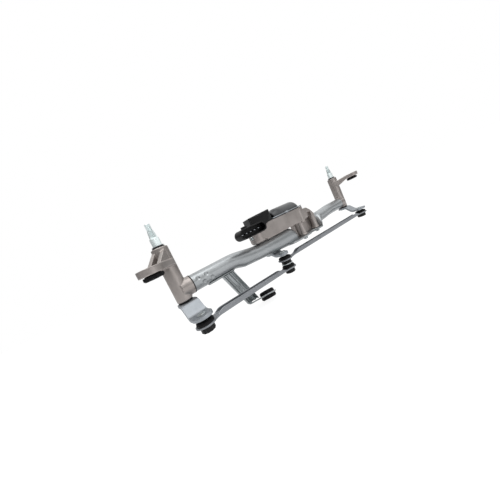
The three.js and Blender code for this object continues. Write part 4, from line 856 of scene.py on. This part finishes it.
def gearbox():
    def lobe(inset):
        return capsule(AXIS, 27.9 - inset, (195, -6), 18 - inset, 48)

    main = prism([(206, -24), (354, -24), (374, -4), (374, 38), (237, 38), (206, -6)], 27, RIM_TOP)
    upper = prism([(195, -24), (210, -24), (210, -6), (195, -6)], 32, RIM_TOP)
    nose = round_bottomed(lobe, 27, RIM_TOP, 5)
    slope = [(354, 27), (402, 28), (390, 44.5), (377, 54), (354, 54)]
    box = cut(side_prism(eased(slope, 4, 5), 17), block(372, 388, -22, -7, 22, 40))
    boss = shift(disc(15.5, -5.2, 32), *AXIS)
    legs = [shift(disc(7.8, -9.7, 32, sides=48), x, y) for x, y in FEET]
    flare = [(0, -9.7), (9.4, -9.7), (9.4, -8), (7.7, -4), (0, -4)]
    flares = [shift(lathe(flare, 48), x, y) for x, y in FEET]
    column = shift(disc(7.8, 22, 55, sides=48), 342, -17.4)
    web = block(328, 405.5, 1, 16, -9.7, 32)
    body = join(main, upper, nose, box, boss, *legs, *flares, column, web)
    wall = 259.5
    room = cut(shift(disc(23.5, 44, 67, sides=96), *AXIS), block(wall, 374, -24, 374, 0, 72))
    tools = [
        room, lying(disc(24.8, 263.2, 358.3, sides=96)), lying(disc(8, 213, wall, sides=40)),
        lying(disc(3.5, 203, 263.5, sides=32)), block(213, wall, -2, 14, 61, 67),
        block(203, 263.5, 2.5, 9.5, 61, 67), shift(disc(8.3, -12, 49), *AXIS),
        lobe_place(disc(2.3, -9.3, 5, sides=24)), lobe_place(disc(4.5, 0, 5, sides=40)),
    ]
    tools += [shift(disc(2.9, -15, 14.3, sides=24), x, y) for x, y in FEET]
    tools += [shift(disc(2.3, 52.7, 67, sides=24), x, y) for x, y in COVER_SCREWS]
    body = soften(cut(body, *tools), 0.8, *ROUNDER)
    dress(body, "gearbox_housing", "casting")


def hex_outline(flats):
    radius = flats / math.sqrt(3)
    return [(radius * math.cos(TURN * i / 6), radius * math.sin(TURN * i / 6)) for i in range(6)]


def star_tool(radius, low, high):
    """A six-lobed drive recess."""
    outline = []
    for i in range(48):
        angle = TURN * i / 48
        reach = radius * (0.86 + 0.14 * math.cos(6 * angle))
        outline.append((reach * math.cos(angle), reach * math.sin(angle)))
    return prism(outline, low, high)


def small_screw(reach):
    body = lathe([
        (0, -reach), (1.6, -reach), (2, -reach + 0.6), (2, GAP), (4.2, GAP), (4.2, GAP + 1.4),
        (3.2, GAP + 2.6), (0, GAP + 2.6),
    ], 48, 0.25)
    return cut(body, star_tool(1.9, GAP + 1.2, GAP + 5))


def motor_fasteners():
    names = ("motor_screw_front_left", "motor_screw_front_right", "motor_screw_rear")
    for (x, y), name in zip(FEET, names):
        body = lathe([
            (0, -20.8), (5.0, -20.8), (5.6, -19.6), (6, -17.2), (6, -16.3), (2.4, -16.3), (2.4, 7.6),
            (1.8, 8.3), (0, 8.3),
        ], 48, 0.3)
        body = cut(body, star_tool(3.1, -24, -18.6))
        dress(shift(body, x, y), name, "screw")
    for (x, y), name in zip(COVER_SCREWS, ("cover_screw_left", "cover_screw_right")):
        screw = small_screw(9 + SCREW_SEAT - RIM_TOP)
        dress(shift(screw, x, y, SCREW_SEAT), name, "screw")
    dress(lobe_place(small_screw(9)), "lobe_plug_screw", "screw")


def rim_outline(inset_side, inset_back):
    """The casting's rim from above, right of the cover; with insets it is the hole in a gasket."""
    start, slant = 262.6, 243 + 1.5 + 0.85
    if not inset_side:
        return [(slant, -24), (354, -24), (374, -4), (374, 38), (start, 38), (start, -24 + start - slant)]
    lean = inset_side * (math.sqrt(2) - 1)
    return [(slant - 5, -24 + inset_side), (354 - lean, -24 + inset_side), (374 - inset_side, -4 + lean),
            (374 - inset_side, 38 - inset_back), (slant - 5, 38 - inset_back)]


def rim_pieces():
    for low, high, node, finish in ((62.3, 63.3, "motor_gasket", "rubber"),
                                    (63.6, 65.6, "motor_clamp_frame", "lever")):
        body = prism(rim_outline(0, 0), low, high)
        body = cut(body, prism(rim_outline(4.8, 7), low - 5, high + 5))
        dress(bevelled(body, 0.3), node, finish)
    clip = side_prism(eased([(292, 61), (302, 61), (302, 67.2), (292, 67.2)], 1.2), 1.6)
    dress(shift(clip, 0, -22.2), "motor_clamp_frame", "lever", label="motor_clamp_clip")


def motor_can():
    profile = [(17, 263.5), (19, 264.2), (23.6, 277), (24.5, 279), (24.5, 291.6), (24.15, 292),
               (24.15, 293), (24.5, 293.4), (24.5, 343)]
    for i in range(1, 9):
        angle = math.pi / 2 * i / 8
        profile.append((9.5 + 15 * math.cos(angle), 343 + 15 * math.sin(angle)))
    profile += [(8.2, 358), (8.0, 357.4), (6.4, 357.4), (6.2, 358), (0, 358), (0, 356.4), (9, 356.4),
                (22.9, 343), (22.9, 279), (15.4, 263.5)]
    dress(lying(lathe(profile, 120)), "motor_can", "paint")


def cover_top(x):
    return COVER_TOP + COVER_RISE * (x - COVER_LEFT) / (COVER_RIGHT - COVER_LEFT)


def cover():
    def shell(inset, low):
        lean = inset * (math.sqrt(2) - 1)
        end = COVER_RIGHT - inset
        plan = [(189, -22.5 + inset), (243 - lean, -22.5 + inset), (end, -3.5 + lean), (end, 33), (237, 33),
                (189, -17.5)]
        round_end = capsule(AXIS, 27 - inset, (189, -17.5), 5 - inset, 48)
        body = join(prism(plan, low, 95), prism(round_end, low, 95))
        side = [(170, low), (end, low), (end, cover_top(end) - inset), (170, cover_top(170) - inset)]
        return common(body, side_prism(side, 70))

    posts = [shift(disc(6, 62.3, 89, sides=40), x, y) for x, y in COVER_SCREWS]
    hollow = cut(shell(2.5, 57), *posts)
    tools = [hollow, lying(disc(3.5, 254, 267, sides=32))]
    for x, y in COVER_SCREWS:
        tools += [shift(disc(2.3, 57, 95, sides=24), x, y)]
        tools += [shift(disc(4.5, SCREW_SEAT, 95, sides=40), x, y)]
    body = soften(cut(shell(0, RIM_TOP + GAP), *tools), 0.65, *ROUNDER)
    dress(body, "gear_cover", "cover")


def oval(width, height, front, back):
    obj = spin(prism(stadium(width, height), 0, back - front), math.pi / 2, "X")
    return shift(obj, 163.5, back, 59)


def connector():
    """The moulded housing in front of the casting, open to the front and slotted for five blades."""
    body = oval(68, 20.5, -48, -24.3)
    low, high = 68.05, 73.75
    tab = side_prism(eased([(145.5, low), (153.5, low), (153.5, high), (145.5, high)], 1.2), 6)
    shift(tab, 0, -39)
    flange = side_prism([(182, 50), (214, 50), (217, 59), (227, 62), (239, 82), (239, 86.5), (182, 83)], 1.5)
    body = join(body, shift(flange, 0, -25.8), tab)
    tools = [oval(63.2, 15.7, -53, -33)]
    for i in range(5):
        x = 159 + (i - 2) * 10.8
        tools.append(block(x - 1.9, x + 1.9, -48, -24.3, 58.1, 59.9))
    tools.append(block(134.2, 183.8, -29.3, -19.3, 53.55, 64.45))
    body = soften(cut(body, *tools), 0.45, *CRISPER)
    dress(body, "connector_housing", "plastic")


# Crank and rods

def ball_place(x, y=0.0):
    """Where the ball of the lever or crank that turns about x, y stands at rest."""
    return x + LEVER.x, y + LEVER.y


def crank():
    outline = eased([
        (-20, -12), (14, -12), (31, -24), (63, -24), (63, -18), (34, -18), (17, -6), (-20, -6),
    ], 6, 8)
    body = common(side_prism(outline, 20), prism(capsule((0, 0), 15, (LEVER_REACH, 0), 13, 40), -31, 5))
    body = cut(body, disc(6.3, -31, 5), shift(disc(6, -31, 5), LEVER_REACH))
    body = soften(body, 0.5, *CRISPER)
    spin(body, LEVER_TURN)
    dress(shift(body, *AXIS), "crank_arm", "lever")
    nut = common(prism(hex_outline(17), -18.3, -12.3),
                 lathe([(0, -18.3), (8.6, -18.3), (9.9, -17.4), (9.9, -13.2), (8.6, -12.3), (0, -12.3)], 72))
    nut = bevelled(cut(nut, disc(5.1, -24, -7, sides=48)), 0.2, 25)
    dress(shift(nut, *AXIS), "crank_nut", "screw")
    upper, lower = ROD_HEIGHT["right_inner"] + BALL_LIFT, ROD_HEIGHT["left_inner"] + BALL_LIFT
    stem = -45.0
    profile = [(0, -15.1), (7.4, -15.1), (9, -16.4), (9, -17.7), (5.7, -17.7), (5.7, -24.3), (7.5, -24.3),
               (7.5, -26.1), (STEM, -26.1), *ball_arc(upper, math.pi - NECK), (STEM, stem), (13.5, stem),
               (13.5, stem - 1.8), (STEM, stem - 1.8), *ball_arc(lower, math.pi)]
    dress(shift(lathe(profile, 64), *ball_place(*AXIS)), "crank_ball_pin", "screw")


def link_rod(label, start, end, ends, clear_start, clear_end):
    """A pressed rod with two side walls, from the first of its ends to the second."""
    z0, z1 = (ROD_HEIGHT[f"{label}_{place}"] for place in ends)
    start, end = Vector(start), Vector(end)
    length = (end - start).length
    flat, half, taper, high = 24.0, 8.0, 14.0, 9.5
    sheet, wall, hub, hub_bore = 1.5, 1.1, 17.5, 12.3
    line = [(-22, z0), (flat, z0), (length - flat, z1), (length + 22, z1)]
    band = [(x, z - sheet) for x, z in line] + [(x, z + sheet) for x, z in reversed(line)]
    web = side_prism(eased(band, 3, 4), 24)
    neck = [(0, -half), (length, -half), (length, half), (0, half)]
    waist = []
    for a, s in ((0.0, 1), (length, -1)):
        waist.append(prism([(a + s * 12, -12.7), (a + s * 27, -half), (a + s * 27, half), (a + s * 12, 12.7)],
                           -90, 0))
    plan = join(prism(neck, -90, 0), disc(hub, -90, 0), shift(disc(hub, -90, 0), length), *waist)
    body = common(web, plan)
    slope = (z1 - z0) / (length - 2 * flat)

    def level(x):
        return z0 + slope * min(max(x - flat, 0), length - 2 * flat)

    near, far = clear_start, length - clear_end
    side = eased([
        (near, level(near) - sheet), (far, level(far) - sheet), (far, level(far) + sheet),
        (far - taper, level(far - taper) - sheet + high), (near + taper, level(near + taper) - sheet + high),
        (near, level(near) + sheet),
    ], 4, 5)
    walls = [shift(side_prism(side, wall), 0, s * (half - wall)) for s in (-1, 1)]
    body = join(body, *walls)
    body = cut(body, disc(hub_bore, -90, 0), shift(disc(hub_bore, -90, 0), length))
    body = soften(body, 0.62, *CRISPER)
    angle = math.atan2(end.y - start.y, end.x - start.x)
    spin(body, angle)
    dress(shift(body, start.x, start.y), f"{label}_link_rod", "rod")
    for place, x, z in zip(ends, (0.0, length), (z0, z1)):
        through = label == "right" and place == "inner"
        for obj, kind, finish in ((socket(through), "socket", "plastic"), (boot(), "boot", "rubber")):
            shift(obj, x, 0, z)
            spin(obj, angle)
            dress(shift(obj, start.x, start.y), f"{label}_{place}_{kind}", finish)


def socket(through):
    """A ribbed cup for a ball; the crank's pin goes on through one of them to its lower ball."""
    depth, rim, opening = 9.0 if through else 12.0, 4.3, 6.5

    def ribs(radius, height, angle):
        if height < -2.6 and radius > 10.7:
            return radius - 0.75 * smooth_share((math.cos(angle * 10) + 0.2) / 0.5)
        if height > 1.7 and radius > 14:
            return radius - 0.7 * smooth_share((math.cos(angle * 12) - 0.2) / 0.4)
        return radius

    outer = [(10.9, -depth), (11.9, -depth + 1.1), (12, -4.1), (13, -3), (13, -1.8), (12, -1.8),
             (12, 1.8), (15, 1.8), (15, rim)]
    bowl = ball_arc(BALL_LIFT, math.pi - NECK if through else math.pi, CUP, 18)
    inside = [p for p in bowl if p[1] < rim]
    if through:
        profile = [(opening, -depth)] + outer + [(bowl[0][0], rim)] + inside
        profile += [(opening, BALL_LIFT - CUP * math.cos(NECK))]
    else:
        mouth = math.sqrt(CUP ** 2 - 3.3 ** 2)
        profile = [(0, -depth)] + outer + [(mouth, rim)] + inside
    return lathe(profile, 120, warp=ribs)


def boot():
    low = 4.6
    inner = 5.0
    cover_radius = math.sqrt(CUP ** 2 - 3.6 ** 2) + 0.3
    profile = [(cover_radius, low), (14.1, low), (14.5, low + 0.5), (14.5, low + 1.7), (13.2, low + 2.2),
               (12.9, low + 2.4), (12.0, low + 2.9), (10.4, low + 3.1), (10.0, low + 3.3), (9.2, low + 3.9),
               (7.4, low + 4.4), (inner, low + 4.4), (inner, 8.9), (cover_radius, low + 0.2)]
    return lathe(profile, 72)


# Floor and light

def pale_floor(low):
    """The floor under the part; it also glows a little where the camera sees it."""
    reach, drop, glow_strength, glow_share = 6, 0.0006, 1.15, 0.8
    floor = made([(-reach, -reach, 0), (reach, -reach, 0), (reach, reach, 0), (-reach, reach, 0)],
                 [(0, 1, 2, 3)])
    floor.data.transform(Matrix.Translation((0.29, 0, low - drop)))
    floor.name = "floor"
    mat = bpy.data.materials.new("pale_floor")
    mat.use_nodes = True
    nodes, links = mat.node_tree.nodes, mat.node_tree.links
    shader = nodes["Principled BSDF"]
    feed(shader, {"Roughness": 0.9, "Specular IOR Level": 0.1})
    place = nodes.new("ShaderNodeTexCoord")
    grain = nodes.new("ShaderNodeTexNoise")
    feed(grain, {"Scale": 30})
    ramp = nodes.new("ShaderNodeValToRGB")
    ramp.color_ramp.elements[0].color = (0.84, 0.84, 0.85, 1)
    ramp.color_ramp.elements[1].color = (0.9, 0.9, 0.9, 1)
    links.new(place.outputs["Object"], grain.inputs["Vector"])
    links.new(grain.outputs["Fac"], ramp.inputs["Fac"])
    links.new(ramp.outputs["Color"], shader.inputs["Base Color"])
    glow = nodes.new("ShaderNodeEmission")
    feed(glow, {"Strength": glow_strength})
    path = nodes.new("ShaderNodeLightPath")
    share = nodes.new("ShaderNodeMath")
    share.operation = "MULTIPLY"
    share.inputs[1].default_value = glow_share
    links.new(path.outputs["Is Camera Ray"], share.inputs[0])
    blend = nodes.new("ShaderNodeMixShader")
    links.new(share.outputs["Value"], blend.inputs["Fac"])
    links.new(shader.outputs["BSDF"], blend.inputs[1])
    links.new(glow.outputs["Emission"], blend.inputs[2])
    out = nodes["Material Output"]
    links.new(blend.outputs["Shader"], out.inputs["Surface"])
    floor.data.materials.append(mat)


def surroundings():
    """White to the camera; to the part a grey room, brighter above and to the right."""
    world = bpy.data.worlds.new("studio")
    bpy.context.scene.world = world
    world.use_nodes = True
    nodes, links = world.node_tree.nodes, world.node_tree.links
    sky = nodes["Background"]
    feed(sky, {"Color": (1, 1, 1, 1), "Strength": 1.0})
    path = nodes.new("ShaderNodeLightPath")
    place = nodes.new("ShaderNodeTexCoord")
    parts = nodes.new("ShaderNodeSeparateXYZ")
    links.new(place.outputs["Generated"], parts.inputs["Vector"])
    height = nodes.new("ShaderNodeMapRange")
    feed(height, {"From Min": -1.0, "From Max": 1.0})
    links.new(parts.outputs["Z"], height.inputs["Value"])
    sky_ramp = nodes.new("ShaderNodeValToRGB")
    stops = [(0.0, 0.35), (0.5, 0.16), (0.58, 0.3), (0.72, 0.95), (0.86, 1.0), (1.0, 0.7)]
    while len(sky_ramp.color_ramp.elements) < len(stops):
        sky_ramp.color_ramp.elements.new(0.5)
    for element, (position, level) in zip(sky_ramp.color_ramp.elements, stops):
        element.position = position
        element.color = (level, level, level, 1)
    links.new(height.outputs["Result"], sky_ramp.inputs["Fac"])
    sideways = nodes.new("ShaderNodeMapRange")
    feed(sideways, {"From Min": -0.9, "From Max": 0.7, "To Min": 0.45, "To Max": 1.15})
    links.new(parts.outputs["X"], sideways.inputs["Value"])
    shaded = nodes.new("ShaderNodeVectorMath")
    shaded.operation = "SCALE"
    links.new(sky_ramp.outputs["Color"], shaded.inputs["Vector"])
    links.new(sideways.outputs["Result"], shaded.inputs["Scale"])
    choice = nodes.new("ShaderNodeMix")
    choice.data_type = "RGBA"
    choice.inputs[MIX_B].default_value = (1, 1, 1, 1)
    links.new(path.outputs["Is Camera Ray"], choice.inputs["Factor"])
    links.new(shaded.outputs["Vector"], choice.inputs[MIX_A])
    links.new(choice.outputs[MIX_OUT], sky.inputs["Color"])


def lamps():
    """A key lamp from the upper left and a fill from the right, as the camera sees them."""
    target = Vector((0.25, 0.0, -0.13))
    for name, offset, size, power in (
        ("key", CAMERA_UP * 0.9 - CAMERA_RIGHT * 0.5 + CAMERA_BACK * 0.5, 1.2, 7.5),
        ("fill", CAMERA_RIGHT * 0.8 + CAMERA_BACK * 0.9, 0.9, 2.5),
    ):
        lamp = bpy.data.lights.new(name, "AREA")
        lamp.size = size
        lamp.energy = power
        obj = bpy.data.objects.new(name, lamp)
        bpy.context.scene.collection.objects.link(obj)
        obj.location = target + offset
        obj.rotation_euler = offset.to_track_quat("Z", "Y").to_euler()


dress_frame_nodes()
for which in ("left", "right"):
    pivot_housing(which)
    spindle(which)
    pivot_trim(which)
    ear_grommet(which)
    lever(which)
frame_tube()
strut()
gearbox()
motor_fasteners()
rim_pieces()
motor_can()
cover()
connector()
crank()
left_ball, right_ball = ball_place(PIVOT_X["left"]), ball_place(PIVOT_X["right"])
link_rod("left", left_ball, ball_place(*AXIS), ("outer", "inner"), 20.0, 20.0)
link_rod("right", ball_place(*AXIS), right_ball, ("inner", "outer"), 32.0, 20.0)
add_camera()
pale_floor(cad_box[0].z)
surroundings()
lamps()
bpy.context.scene.view_settings.view_transform = "Standard"
